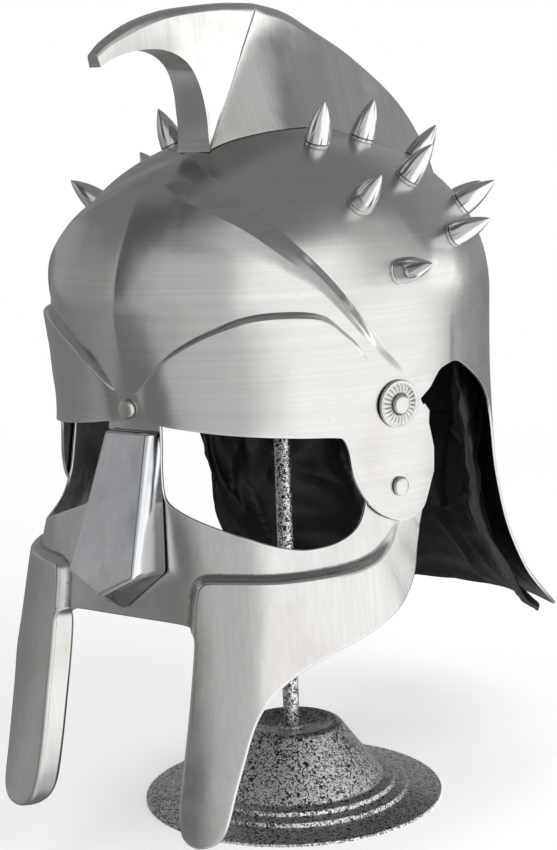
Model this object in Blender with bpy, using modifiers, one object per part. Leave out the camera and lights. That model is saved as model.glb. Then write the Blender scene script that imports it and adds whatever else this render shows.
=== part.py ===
"""A steel gladiator helmet on its display stand.

Front faces -Y, up is +Z, and the stand's foot rests on Z = 0 with its rod on the Z axis.
Sheet pieces are grids laid over one head-shaped surface and thickened inward.
Angles run round the head from the front, 0, by the wearer's left side, 90, to the back, 180.
"""

import math

import bmesh
import bpy
from mathutils import Matrix, Vector

# Stand
FOOT_RADIUS = 0.080
FOOT_SHEET = 0.0014
FOOT_ROLL = 0.0028
FLAT_WIDTH = 0.018
STEP_WIDTH = 0.007
STEP_RISE = 0.0032
CONE_RISE = 0.040
CONE_TOP_RADIUS = 0.027
CONE_TOP_DIP = 0.004
ROD_RADIUS = 0.0043
BOSS_RADIUS = 0.0085
PAD_RADIUS = 0.026
PAD_CROWN = 0.0032
PAD_THICKNESS = 0.003

# Bowl with its neck guard, and what the other sheets follow
TIP_CLEARANCE = 0.030
CHEEK_DROP = 0.192
WIDEST_RISE = 0.046
DOME_RISE = 0.088
DOME_ROUNDNESS = 2.15
HALF_WIDTH = 0.104
FRONT_REACH = 0.124
BACK_REACH = 0.127
NECK_DROP = 0.144
STEEL = 0.0015
SEAT_GAP = 0.0004

# Lining
LEATHER = 0.0014
LINER_SLACK = 0.005
LINING_STANDOFF = 0.0008
LINER_ROWS = (4, 6, 8, 10, 11, 12)
NECK_LINING_ROWS = (0.25, 1, 2, 3, 3.92)

# Brow plate
BROW_RISE = 0.120
LAPPET_DROP = 0.054
EYEBROW_HEIGHT = 0.0038
BORDER_HEIGHT = 0.0030
KEEL_HEIGHT = 0.0030
KEEL_SPREAD = 13.0
BROW_SEAT_GAP = 0.0007
BROW_SEAT_START = 0.012
BROW_SEAT_END = 0.030
BROW_STANDOFF = 0.0014

# Face guard
EYE_HEIGHT = 0.060
CHEEK_RAISE = 0.0050
HEM_DEPTH = 0.013
HEM_MARGIN = 0.06

# Nose guard
NOSE_TOP_DROP = 0.005
NOSE_HEIGHT = 0.084
NOSE_TOP_HALF_WIDTH = 0.0125
NOSE_HALF_WIDTH = 0.0200
NOSE_FLARE = 0.0038
NOSE_TOP_DEPTH = 0.0045
NOSE_DEPTH = 0.0205
NOSE_POINT = 0.0200
NOSE_FRONT_POINT = 0.0100
NOSE_SHEET = 0.0014
NOSE_SEAT = 0.0020

# Crest
CREST_RISE = 0.061
CREST_REACH = 0.137
CREST_HALF_WIDTH = 0.0225
CREST_EDGE_HALF_WIDTH = 0.0048
CREST_EDGE_BEVEL = 0.0012
CREST_SHEET = 0.0016
CREST_BURIED = 0.007
CREST_SEAT_GAP = 0.0005
CREST_SOLID_BELOW = 0.013

# Fasteners and spikes
RIVET_RADIUS = 0.0046
RIVET_RISE = 0.0022
BROW_RIVET_RISE = 0.006
JAW_RIVET_ANGLE = 65.0
JAW_RIVET_DROP = 0.037
ROSETTE_ANGLE = 65.5
ROSETTE_RISE = 0.003
ROSETTE_RADIUS = 0.0115
ROSETTE_THICKNESS = 0.0020
ROSETTE_SEAT = 0.0007
ROSETTE_FLUTES = 18
FLUTE_DEPTH = 0.0006
SPIKE_RADIUS = 0.0066
SPIKE_LENGTH = 0.0215
SPIKE_SEAT = 0.0001
# Rows of spikes on each side: angle off the crest, first and last angle back from the crown, count
SPIKE_ROWS = ((24.0, -14.0, 58.0, 4), (47.0, -34.0, 42.0, 3), (67.0, -58.0, 22.0, 2))

# Grids of the sheets
BOWL_ACROSS = 48
BOWL_ALONG = 12
BROW_ACROSS = 36
FACE_ACROSS = 48

RIM_HEIGHT = TIP_CLEARANCE + CHEEK_DROP
WIDEST_HEIGHT = RIM_HEIGHT + WIDEST_RISE
CROWN_HEIGHT = WIDEST_HEIGHT + DOME_RISE
DOME_RUN = math.pi / 4 * (HALF_WIDTH + DOME_RISE)
FACE_DEPTH = WIDEST_RISE + CHEEK_DROP
NECK_DEPTH = WIDEST_RISE + NECK_DROP
SECOND_LAYER = SEAT_GAP + STEEL
THIRD_LAYER = 2 * SECOND_LAYER + BROW_SEAT_GAP

# Rings under the widest level, in front: depth as a share of FACE_DEPTH, half width, reach, squareness
FACE_RINGS = (
    (0.00, 1.000, 1.000, 2.0),
    (0.08, 1.000, 0.985, 2.0),
    (0.14, 0.994, 0.967, 2.0),
    (0.20, 0.982, 0.957, 2.05),
    (0.33, 0.965, 0.985, 2.3),
    (0.50, 0.950, 1.030, 3.0),
    (0.66, 0.940, 1.073, 3.6),
    (0.83, 0.945, 1.135, 4.3),
    (1.00, 0.955, 1.215, 5.0),
)
# Behind: depth as a share of NECK_DEPTH, half width, reach
NECK_RINGS = (
    (0.00, 1.000, 1.000),
    (0.175, 0.994, 1.000),
    (0.43, 1.012, 1.008),
    (0.62, 1.045, 1.080),
    (0.81, 1.135, 1.225),
    (1.00, 1.320, 1.500),
)
# Bowl's rim: station from front to back, angle, drop below the brow as a share of NECK_DROP
BOWL_RIM = (
    (0.00, 0.0, 0.00),
    (0.26, 72.0, 0.00),
    (0.33, 79.5, -0.04),
    (0.38, 85.0, -0.105),
    (0.43, 92.0, -0.12),
    (0.49, 104.0, -0.06),
    (0.55, 120.0, 0.07),
    (0.60, 127.5, 0.22),
    (0.66, 132.0, 0.43),
    (0.71, 135.0, 0.62),
    (0.76, 140.0, 0.81),
    (0.81, 148.5, 0.965),
    (0.86, 158.0, 1.00),
    (1.00, 180.0, 1.00),
)
# Brow plate: station, upper angle, rise as a share of BROW_RISE, lower angle, drop as a share of LAPPET_DROP,
# where the eyebrow and the border cross as shares of the way up, and how full each stands there
BROW_EDGES = (
    (0.00, 0.0, 1.000, 0.0, 0.00, 0.10, 0.87, 0.00, 1.00),
    (0.03, 2.5, 0.998, 2.5, 0.01, 0.12, 0.87, 0.00, 1.00),
    (0.07, 5.6, 0.988, 5.6, 0.02, 0.18, 0.87, 0.50, 1.00),
    (0.15, 12.0, 0.950, 12.0, 0.06, 0.31, 0.86, 1.00, 1.00),
    (0.30, 26.0, 0.850, 26.0, 0.13, 0.50, 0.86, 1.00, 1.00),
    (0.42, 36.5, 0.720, 38.5, 0.17, 0.62, 0.86, 1.00, 1.00),
    (0.52, 45.0, 0.590, 49.0, 0.20, 0.71, 0.87, 0.95, 0.95),
    (0.57, 50.0, 0.500, 50.6, 0.30, 0.75, 0.88, 0.85, 0.90),
    (0.64, 55.5, 0.390, 51.5, 0.52, 0.80, 0.90, 0.30, 0.60),
    (0.71, 60.5, 0.290, 54.5, 0.76, 0.80, 0.91, 0.00, 0.00),
    (0.79, 66.0, 0.190, 60.0, 0.93, 0.75, 0.92, 0.00, 0.00),
    (0.87, 71.5, 0.080, 66.5, 1.00, 0.70, 0.92, 0.00, 0.00),
    (0.94, 76.0, -0.045, 73.5, 0.94, 0.66, 0.92, 0.00, 0.00),
    (1.00, 79.0, -0.180, 79.0, 0.62, 0.60, 0.92, 0.00, 0.00),
)
# Rows up the brow plate: shares of the way to the eyebrow, on to the border and on to the edge, then both swellings
BROW_ROWS = (
    (0, 0.00, 0.00, 0.00, 0.25, 0.00),
    (2, 0.55, 0.00, 0.00, 0.60, 0.00),
    (4, 0.94, 0.00, 0.00, 1.00, 0.00),
    (5, 1.00, 0.00, 0.00, 0.00, 0.00),
    (7, 1.00, 0.72, 0.00, 0.00, 0.25),
    (8, 1.00, 1.00, 0.00, 0.00, 1.00),
    (10, 1.00, 1.00, 1.00, 0.00, 0.00),
)
# Face guard: station, upper angle, drop as a share of EYE_HEIGHT, lower angle, drop as a share of CHEEK_DROP,
# where the cheek panel's top crosses as a share of the way up, how full the panel stands there, how far the hem turns
FACE_EDGES = (
    (0.00, 0.0, -0.17, 0.0, 0.484, 0.60, 0.0, 0.0),
    (0.10, 5.5, -0.17, 8.0, 0.484, 0.60, 0.0, 0.0),
    (0.13, 7.4, -0.05, 9.5, 0.484, 0.60, 0.0, 0.0),
    (0.17, 7.8, 0.30, 11.5, 0.485, 0.58, 0.0, 0.0),
    (0.21, 9.0, 0.60, 15.0, 0.487, 0.50, 0.0, 0.2),
    (0.25, 13.0, 0.70, 17.7, 0.500, 0.48, 0.5, 0.9),
    (0.30, 17.0, 0.76, 17.0, 0.680, 0.70, 1.0, 1.0),
    (0.36, 22.0, 0.82, 15.8, 0.920, 0.84, 1.0, 1.0),
    (0.40, 25.5, 0.865, 17.4, 0.990, 0.87, 1.0, 0.6),
    (0.43, 28.0, 0.89, 20.5, 1.000, 0.88, 1.0, 0.0),
    (0.46, 31.0, 0.93, 24.0, 0.975, 0.88, 1.0, 0.0),
    (0.51, 35.5, 0.975, 26.6, 0.840, 0.885, 1.0, 0.0),
    (0.56, 40.0, 1.00, 29.8, 0.690, 0.86, 1.0, 0.0),
    (0.61, 44.5, 0.99, 35.5, 0.605, 0.82, 1.0, 0.0),
    (0.67, 49.0, 0.95, 43.5, 0.560, 0.75, 1.0, 0.0),
    (0.73, 53.0, 0.86, 53.0, 0.530, 0.66, 0.9, 0.0),
    (0.79, 55.5, 0.68, 63.0, 0.490, 0.55, 0.6, 0.0),
    (0.85, 56.5, 0.40, 69.5, 0.430, 0.50, 0.1, 0.0),
    (0.90, 58.0, 0.12, 72.5, 0.350, 0.55, 0.0, 0.0),
    (0.94, 62.0, 0.02, 75.5, 0.270, 0.60, 0.0, 0.0),
    (0.97, 68.0, 0.00, 78.0, 0.200, 0.60, 0.0, 0.0),
    (1.00, 77.0, 0.00, 79.0, 0.020, 0.60, 0.0, 0.0),
)
# Rows up the face guard: turn into the hem, shares of the way to the panel's top and on to the edge, the panel's raise
FACE_ROWS = (
    (0, 1.0, 0.00, 0.00, 1.0),
    (1, 0.0, 0.00, 0.00, 1.0),
    (4, 0.0, 0.93, 0.00, 1.0),
    (5, 0.0, 1.00, 0.00, 0.0),
    (7, 0.0, 1.00, 1.00, 0.0),
)
# Prow of the crest from its tip: reach and rise of the top and of the underside, as shares of CREST_REACH and
# CREST_RISE about the crown, then the half width of the edge and of the foot as shares
PROW = (
    (1.00, 0.575, 0.985, 0.475, 0.50, 0.25),
    (0.93, 0.680, 0.92, 0.545, 0.70, 0.30),
    (0.80, 0.810, 0.79, 0.605, 0.90, 0.34),
    (0.63, 0.910, 0.66, 0.600, 1.00, 0.38),
    (0.46, 0.960, 0.56, 0.510, 1.00, 0.38),
    (0.32, 0.990, 0.505, 0.340, 1.00, 0.36),
    (0.22, 1.000, 0.48, 0.100, 1.00, 0.36),
    (0.14, 1.003, 0.475, -0.120, 1.00, 0.38),
)
# Crest behind the prow: angle back from the crown and height over the bowl as a share of CREST_RISE for the top,
# the same angle for the foot, then the half width of the edge and of the foot as shares
CREST_BACK = (
    (-4.0, 1.000, -32.0, 1.00, 0.44),
    (4.0, 0.950, -17.0, 1.00, 0.84),
    (12.0, 0.860, -4.0, 0.95, 1.00),
    (28.0, 0.755, 18.0, 0.95, 0.95),
    (48.0, 0.740, 40.0, 0.95, 0.92),
    (66.0, 0.740, 62.0, 0.95, 0.88),
    (82.0, 0.620, 82.0, 0.90, 0.80),
    (96.0, 0.390, 97.0, 0.80, 0.68),
    (107.0, 0.120, 108.0, 0.60, 0.50),
)
# Down the crest's flank: share of the way to the foot, share of the widening from edge to foot
CREST_FLANK = ((0.0, 0.0), (0.30, 0.26), (0.65, 0.60), (1.00, 1.00))
CREST_FLANK_ROWS = 3
# Spike from its point: height as a share of SPIKE_LENGTH, radius as a share of SPIKE_RADIUS
SPIKE_PROFILE = ((1.00, 0.0), (0.90, 0.24), (0.60, 0.66), (0.25, 0.93), (0.0, 1.0), (0.0, 0.0))
RIVET_PROFILE = ((1.0, 0.0), (0.86, 0.55), (0.40, 0.94), (0.0, 1.0), (0.0, 0.0))


def slope(table, row, column):
    """The slope of a table's column at a row, flat where the column turns back."""
    steps = [
        (table[i + 1][column] - table[i][column]) / (table[i + 1][0] - table[i][0])
        for i in range(max(row - 1, 0), min(row + 1, len(table) - 1))
    ]
    if len(steps) == 1:
        return steps[0]
    if steps[0] * steps[1] <= 0:
        return 0.0
    return 2 * steps[0] * steps[1] / (steps[0] + steps[1])


def mixed(table, at):
    """The columns after a table's first, read at a value of its first by a curve that doesn't overshoot."""
    at = min(max(at, table[0][0]), table[-1][0])
    row = max(i for i in range(len(table) - 1) if table[i][0] <= at)
    low, high = table[row], table[row + 1]
    width = high[0] - low[0]
    share = (at - low[0]) / width
    return [
        low[c] * (1 - share) ** 2 * (1 + 2 * share)
        + high[c] * share**2 * (3 - 2 * share)
        + width * share * (1 - share) * ((1 - share) * slope(table, row, c) - share * slope(table, row + 1, c))
        for c in range(1, len(low))
    ]


def rounded(points, parts):
    """A chain of vectors with a round curve between each two."""
    chain = []
    for i in range(len(points) - 1):
        start, end = points[i], points[i + 1]
        leave = (end - points[max(i - 1, 0)]) / 2
        arrive = (points[min(i + 2, len(points) - 1)] - start) / 2
        for part in range(parts):
            share = part / parts
            chain.append(
                start * ((1 - share) ** 2 * (1 + 2 * share))
                + end * (share**2 * (3 - 2 * share))
                + leave * (share * (1 - share) ** 2)
                - arrive * (share**2 * (1 - share))
            )
    return chain + [points[-1]]


def ease(value, start, end):
    """0 up to start, 1 from end on, and a smooth rise between."""
    share = min(max((value - start) / (end - start), 0.0), 1.0)
    return share * share * (3 - 2 * share)


def ring_point(degrees, half_width, reach, squareness, height):
    """A point of a level ring round the head."""
    side, fore = math.sin(math.radians(degrees)), math.cos(math.radians(degrees))
    radius = ((abs(side) / half_width) ** squareness + (abs(fore) / reach) ** squareness) ** (-1 / squareness)
    return Vector((radius * side, -radius * fore, height))


def skin(degrees, run):
    """The head surface at an angle, a run of sheet down from the crown."""
    reach = BACK_REACH if degrees > 90 else FRONT_REACH
    depth = run - DOME_RUN
    if depth <= 0:
        tilt = math.pi / 2 * min(max(-depth / DOME_RUN, 0.0), 1.0)
        out = max(math.cos(tilt), 1e-9) ** (2 / DOME_ROUNDNESS)
        height = WIDEST_HEIGHT + DOME_RISE * math.sin(tilt) ** (2 / DOME_ROUNDNESS)
        return ring_point(degrees, HALF_WIDTH * out, reach * out, 2.0, height)
    if degrees > 90:
        width_share, reach_share = mixed(NECK_RINGS, depth / NECK_DEPTH)
        squareness = 2.0
    else:
        width_share, reach_share, squareness = mixed(FACE_RINGS, depth / FACE_DEPTH)
    return ring_point(degrees, HALF_WIDTH * width_share, reach * reach_share, squareness, WIDEST_HEIGHT - depth)


def skin_normal(degrees, run):
    """The head surface's outward normal."""
    if run < 0.001:
        return Vector((0, 0, 1))
    start = 0.0 if degrees < 0.1 else degrees - 0.1
    around = skin(start + 0.1, run) - skin(start, run)
    down = skin(degrees, run + 0.0005) - skin(degrees, run - 0.0005)
    return down.cross(around).normalized()


def run_at(height):
    """The run from the crown down to a height."""
    if height <= WIDEST_HEIGHT:
        return DOME_RUN + WIDEST_HEIGHT - height
    rise = min((height - WIDEST_HEIGHT) / DOME_RISE, 1.0)
    return DOME_RUN * (1 - 2 / math.pi * math.asin(rise ** (DOME_ROUNDNESS / 2)))


def lifted(degrees, run, lift):
    """A point off the head surface by a lift along its normal."""
    return skin(degrees, run) + skin_normal(degrees, run) * lift


def over_dome(off_crest, back_angle):
    """Angle and run of a dome place, from its angle off the crest and its angle back from the crown."""
    side = math.sin(math.radians(off_crest))
    back = math.cos(math.radians(off_crest)) * math.sin(math.radians(back_angle))
    up = math.cos(math.radians(off_crest)) * math.cos(math.radians(back_angle))
    half = DOME_ROUNDNESS / 2
    tilt = math.atan2(max(up, 0.0) ** half, math.hypot(side, back) ** half)
    return math.degrees(math.atan2(side, -back)), DOME_RUN * (1 - 2 * tilt / math.pi)


def over_middle(back_angle, lift):
    """A place over the middle line of the bowl, an angle back from the crown."""
    if abs(back_angle) <= 90:
        degrees, run = over_dome(0.0, back_angle)
    else:
        degrees, run = 180.0, DOME_RUN * back_angle / 90
    point = lifted(degrees, run, lift)
    return Vector((0, point.y, point.z))


def fullness(point):
    """How far out a point is as a share of the head surface, 1 on it."""
    reach = BACK_REACH if point.y > 0 else FRONT_REACH
    rise = point.z - WIDEST_HEIGHT
    if rise >= 0:
        out = math.hypot(point.x / HALF_WIDTH, point.y / reach)
        return (out**DOME_ROUNDNESS + (rise / DOME_RISE) ** DOME_ROUNDNESS) ** (1 / DOME_ROUNDNESS)
    width_share, reach_share = mixed(NECK_RINGS, -rise / NECK_DEPTH)
    return math.hypot(point.x / (HALF_WIDTH * width_share), point.y / (reach * reach_share))


def off_bowl(point):
    """How far a point near the bowl stands off it, negative inside it."""
    step = 0.0001
    here = fullness(point)
    rise = Vector([fullness(point + Vector(axis) * step) - here for axis in ((1, 0, 0), (0, 1, 0), (0, 0, 1))])
    return (here - 1) * step / max(rise.length, 1e-12)


def both_sides(point_at, turned_back=False):
    """A placing function over both sides of the head from one that reads a station and a height up the grid."""

    def place(u, v):
        station = abs(2 * u - 1)
        right = u > 0.5 if turned_back else u < 0.5
        point = point_at(1 - station if turned_back else station, v)
        return Vector((-point.x, point.y, point.z)) if right else point

    return place


def bowl_point(station, v, lift=0.0):
    """A point of the bowl's grid: station from front to back, v from the rim to the crown."""
    degrees, drop = mixed(BOWL_RIM, station)
    return lifted(degrees, run_at(RIM_HEIGHT - drop * NECK_DROP) * (1 - v), lift)


def bowl_facet(station, row, lift):
    """A point on the bowl's facets, between two rows of its grid."""
    low = math.floor(row)
    start = bowl_point(station, low / BOWL_ALONG, lift)
    if row == low:
        return start
    return start.lerp(bowl_point(station, (low + 1) / BOWL_ALONG, lift), row - low)


def neck_lining_point(station, v):
    """A point of the neck lining, station 0 at the back and 1 at its front edge."""
    columns = BOWL_ACROSS / 2
    start = math.ceil(0.56 * columns) / columns
    row = NECK_LINING_ROWS[round(v * (len(NECK_LINING_ROWS) - 1))]
    return bowl_facet(start + (1 - start) * station, row, -SECOND_LAYER - LINING_STANDOFF)


def liner_point(station, v):
    """A point of the head liner, which hangs clear of the bowl above its hem."""
    row = LINER_ROWS[round(v * (len(LINER_ROWS) - 1))]
    return bowl_facet(station, row, -SECOND_LAYER - LINER_SLACK * ease(row, LINER_ROWS[0], LINER_ROWS[3]))


def brow_point(station, v):
    """A point of the brow plate's outer face, swellings and keel included."""
    edges = mixed(BROW_EDGES, station)
    top_angle, top_rise, low_angle, low_drop, eyebrow, border, eyebrow_stand, border_stand = edges
    rows = mixed(BROW_ROWS, v * BROW_ROWS[-1][0])
    share = eyebrow * rows[0] + (border - eyebrow) * rows[1] + (1 - border) * rows[2]
    degrees = low_angle + (top_angle - low_angle) * share
    low, top = RIM_HEIGHT - low_drop * LAPPET_DROP, RIM_HEIGHT + top_rise * BROW_RISE
    height = low + (top - low) * share
    close = ease(height - RIM_HEIGHT, BROW_SEAT_START, BROW_SEAT_END)
    lift = THIRD_LAYER + (SECOND_LAYER + BROW_STANDOFF * (1 - ease(share, 0.9, 1.0)) - THIRD_LAYER) * close
    lift += EYEBROW_HEIGHT * eyebrow_stand * rows[3] + BORDER_HEIGHT * border_stand * rows[4]
    keel = ease(height - RIM_HEIGHT, BROW_SEAT_START, 2 * BROW_SEAT_END) * (1 - ease(share, 0.85, 1.0))
    lift += KEEL_HEIGHT * keel * max(1 - degrees / KEEL_SPREAD, 0.0) ** 1.5
    return lifted(degrees, run_at(height), lift)


def face_point(station, v):
    """A point of the face guard's outer face, with the raised cheek panel and the turned hem."""
    edges = mixed(FACE_EDGES, station)
    top_angle, top_drop, low_angle, low_drop, panel, stand, turn = edges
    hem, below, above, raised = mixed(FACE_ROWS, v * FACE_ROWS[-1][0])
    low, top = RIM_HEIGHT - low_drop * CHEEK_DROP, RIM_HEIGHT - top_drop * EYE_HEIGHT

    def on_face(share, lift):
        height = low + (top - low) * share
        return lifted(low_angle + (top_angle - low_angle) * share, run_at(height), lift)

    fold = HEM_MARGIN * (1 - turn)
    share = fold + (panel - fold) * below + (1 - panel) * above
    lift = SECOND_LAYER + CHEEK_RAISE * stand * raised
    outer = on_face(share, lift)
    if hem == 0.0:
        return outer
    edge = on_face(0.0, lift).lerp(on_face(0.0, lift - HEM_DEPTH), turn)
    return outer.lerp(edge, hem)


def new_material(name, colour, metallic, roughness):
    """A plain finish."""
    material = bpy.data.materials.new(name)
    material.use_nodes = True
    shader = material.node_tree.nodes["Principled BSDF"]
    shader.inputs["Base Color"].default_value = (*colour, 1)
    shader.inputs["Metallic"].default_value = metallic
    shader.inputs["Roughness"].default_value = roughness
    return material


def new_piece(name, mesh, material):
    """An object of the helmet with its material."""
    obj = bpy.data.objects.new(name, mesh)
    obj.data.materials.append(material)
    bpy.context.scene.collection.objects.link(obj)
    return obj


def shade(obj, sharp_degrees=32):
    """Smooth shading that keeps the real edges."""
    obj.data.shade_smooth()
    obj.data.set_sharp_from_angle(angle=math.radians(sharp_degrees))


def grid(name, across, along, place):
    """A grid mesh moved onto a surface, its coinciding points joined."""
    bm = bmesh.new()
    bmesh.ops.create_grid(bm, x_segments=across, y_segments=along, size=0.5)
    for vert in bm.verts:
        vert.co = place(round((vert.co.x + 0.5) * across) / across, round((vert.co.y + 0.5) * along) / along)
    bmesh.ops.remove_doubles(bm, verts=bm.verts, dist=0.00002)
    mesh = bpy.data.meshes.new(name)
    bm.to_mesh(mesh)
    bm.free()
    return mesh


def add_sheet(name, across, along, place, wall, material, even=True):
    """A formed sheet: a grid for its outer face, thickened inward, evenly unless it has a tight fold."""
    obj = new_piece(name, grid(name, across, along, place), material)
    solid = obj.modifiers.new("wall", "SOLIDIFY")
    solid.thickness = wall
    solid.offset = -1
    solid.use_even_offset = even
    shade(obj)
    return obj


def add_turned(name, profile, material, sides):
    """A turned piece from pairs of radius and height, top to bottom on the outside."""
    mesh = bpy.data.meshes.new(name)
    mesh.from_pydata([(radius, 0, height) for radius, height in profile], [(i, i + 1) for i in range(len(profile) - 1)], [])
    obj = new_piece(name, mesh, material)
    screw = obj.modifiers.new("turn", "SCREW")
    screw.steps = screw.render_steps = sides
    screw.use_merge_vertices = True
    screw.merge_threshold = 0.00005
    return obj


def seat(obj, degrees, run, lift, right=False):
    """Stands a piece on the head surface, along its normal."""
    normal = skin_normal(degrees, run)
    point = lifted(degrees, run, lift)
    if right:
        point.x, normal.x = -point.x, -normal.x
    obj.matrix_world = Matrix.Translation(point) @ normal.to_track_quat("Z", "Y").to_matrix().to_4x4()


def lofted(name, rings):
    """A closed mesh through rings of equal counts, its two ends capped."""
    bm = bmesh.new()
    loops = [[bm.verts.new(point) for point in ring] for ring in rings]
    for first, second in zip(loops, loops[1:]):
        for i in range(len(first)):
            j = (i + 1) % len(first)
            bm.faces.new((first[i], first[j], second[j], second[i]))
    bm.faces.new(loops[0])
    bm.faces.new(loops[-1])
    bmesh.ops.recalc_face_normals(bm, faces=bm.faces)
    mesh = bpy.data.meshes.new(name)
    bm.to_mesh(mesh)
    bm.free()
    return mesh


def crest_sections():
    """The crest's sections from the tip to the tail: top, foot and shares of the half widths."""
    tops, feet, widths = [], [], []
    for reach, rise, low_reach, low_rise, edge, foot in PROW:
        tops.append(Vector((0, -reach * CREST_REACH, CROWN_HEIGHT + rise * CREST_RISE)))
        feet.append(Vector((0, -low_reach * CREST_REACH, CROWN_HEIGHT + low_rise * CREST_RISE)))
        widths.append(Vector((edge, foot, 0)))
    for top_angle, share, foot_angle, edge, foot in CREST_BACK:
        tops.append(over_middle(top_angle, share * CREST_RISE))
        feet.append(over_middle(foot_angle, -CREST_BURIED))
        widths.append(Vector((edge, foot, 0)))
    return list(zip(rounded(tops, 2), rounded(feet, 2), rounded(widths, 2)))


def crest_ring(top, foot, shares, stands, inset):
    """A section drawn in by an inset: from the left foot over the top to the right one, then the foot's middle."""
    down = (foot - top).normalized()
    top = top + down * inset
    if not stands:
        foot = foot - down * inset
    edge = shares.x * CREST_EDGE_HALF_WIDTH
    spread = min((foot - top).length / CREST_RISE, 1.0) * (shares.y * CREST_HALF_WIDTH - edge)

    def flank(share):
        return top.lerp(foot, share) + Vector((edge + spread * mixed(CREST_FLANK, share)[0] - inset, 0, 0))

    def reached(line):
        low, high = 0.0, 1.0
        for _ in range(24):
            middle = (low + high) / 2
            low, high = (middle, high) if off_bowl(line(middle)) > CREST_SEAT_GAP else (low, middle)
        return high if stands else 1.0

    bevel = CREST_EDGE_BEVEL / (foot - top).length
    end = reached(flank)
    left = [flank(bevel + (end - bevel) * i / CREST_FLANK_ROWS) for i in range(CREST_FLANK_ROWS, -1, -1)]
    left.append(top + Vector((edge - CREST_EDGE_BEVEL / 2 - inset, 0, 0)))
    middle = top.lerp(foot, reached(lambda share: top.lerp(foot, share)))
    return left + [Vector((-point.x, point.y, point.z)) for point in reversed(left)] + [middle]


def add_rings(bm, rings, is_open):
    """Joins rings by strips, leaves out the two foot strips where it is open, and caps both ends."""
    loops = [[bm.verts.new(point) for point in ring] for ring in rings]
    count = len(loops[0])
    for near, far, open_below in zip(loops, loops[1:], is_open):
        for i in range(count - 2 if open_below else count):
            j = (i + 1) % count
            bm.faces.new((near[i], near[j], far[j], far[i]))
    bm.faces.new(loops[0])
    bm.faces.new(loops[-1])
    return loops


def nose_ring(front):
    """The nose guard's front or back outline, clockwise from the top left as seen from ahead."""
    rows = []
    top, widest = RIM_HEIGHT - NOSE_TOP_DROP, RIM_HEIGHT - NOSE_TOP_DROP - NOSE_HEIGHT + NOSE_POINT
    point = widest - (NOSE_FRONT_POINT if front else NOSE_POINT)
    flare = 0.0 if front else NOSE_FLARE
    middle = (top + widest) / 2
    for height, half_width, depth in (
        (top, -NOSE_TOP_HALF_WIDTH - flare, NOSE_TOP_DEPTH),
        (top, 0.0, NOSE_TOP_DEPTH),
        (top, NOSE_TOP_HALF_WIDTH + flare, NOSE_TOP_DEPTH),
        (middle, (NOSE_TOP_HALF_WIDTH + NOSE_HALF_WIDTH) / 2 + flare, (NOSE_TOP_DEPTH + NOSE_DEPTH) / 2),
        (widest, NOSE_HALF_WIDTH + flare, NOSE_DEPTH),
        (point, 0.0, NOSE_DEPTH),
        (widest, -NOSE_HALF_WIDTH - flare, NOSE_DEPTH),
        (middle, -(NOSE_TOP_HALF_WIDTH + NOSE_HALF_WIDTH) / 2 - flare, (NOSE_TOP_DEPTH + NOSE_DEPTH) / 2),
    ):
        degrees = math.degrees(math.atan2(abs(half_width), FRONT_REACH))
        seated = lifted(degrees, run_at(height), SECOND_LAYER)
        level = lifted(0.0, run_at(height), SECOND_LAYER).y
        rows.append(Vector((half_width, level - depth if front else seated.y - NOSE_SEAT, height)))
    return rows


def add_nose_guard(material):
    """A folded plate over the centre strap, open behind."""
    bm = bmesh.new()
    back = [bm.verts.new(point) for point in nose_ring(False)]
    front = [bm.verts.new(point) for point in nose_ring(True)]
    bm.faces.new(front)
    for i in range(len(back)):
        j = (i + 1) % len(back)
        bm.faces.new((back[i], back[j], front[j], front[i]))
    bmesh.ops.recalc_face_normals(bm, faces=bm.faces)
    if front[1].link_faces[0].normal.dot(Vector((0, -1, 0))) < 0:
        bmesh.ops.reverse_faces(bm, faces=bm.faces)
    mesh = bpy.data.meshes.new("nose_guard")
    bm.to_mesh(mesh)
    bm.free()
    obj = new_piece("nose_guard", mesh, material)
    bevel = obj.modifiers.new("soft_edges", "BEVEL")
    bevel.width = 0.0012
    bevel.segments = 1
    bevel.limit_method = "ANGLE"
    bevel.angle_limit = math.radians(25)
    solid = obj.modifiers.new("wall", "SOLIDIFY")
    solid.thickness = NOSE_SHEET
    solid.offset = -1
    solid.use_even_offset = True


def add_crest(material):
    """A hollow crest that stands over the bowl's middle line, open below, with a solid tip and tail."""
    sections = crest_sections()
    stands = [off_bowl(foot) < 0 for _, foot, _ in sections]
    lengths = [(foot - top).length for top, foot, _ in sections]
    first = next(i for i, length in enumerate(lengths) if length > CREST_SOLID_BELOW)
    last = len(sections) - 2
    is_open = [stands[i] and stands[i + 1] and first <= i < last for i in range(len(sections) - 1)]
    bm = bmesh.new()
    outer, inner = (
        [crest_ring(*section, stand, inset) for section, stand in zip(sections, stands)] for inset in (0.0, CREST_SHEET)
    )
    skin_loops = add_rings(bm, outer, is_open)
    hollow_loops = add_rings(bm, inner[first : last + 1], is_open[first:last])
    twins = {}
    for skin_loop, hollow_loop in zip(skin_loops[first : last + 1], hollow_loops):
        twins.update(zip(skin_loop, hollow_loop))
    for edge in [edge for edge in bm.edges if edge.is_boundary and edge.verts[0] in twins]:
        start, end = edge.verts
        bm.faces.new((start, end, twins[end], twins[start]))
    bmesh.ops.recalc_face_normals(bm, faces=bm.faces)
    mesh = bpy.data.meshes.new("crest")
    bm.to_mesh(mesh)
    bm.free()
    shade(new_piece("crest", mesh, material), 28)


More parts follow.
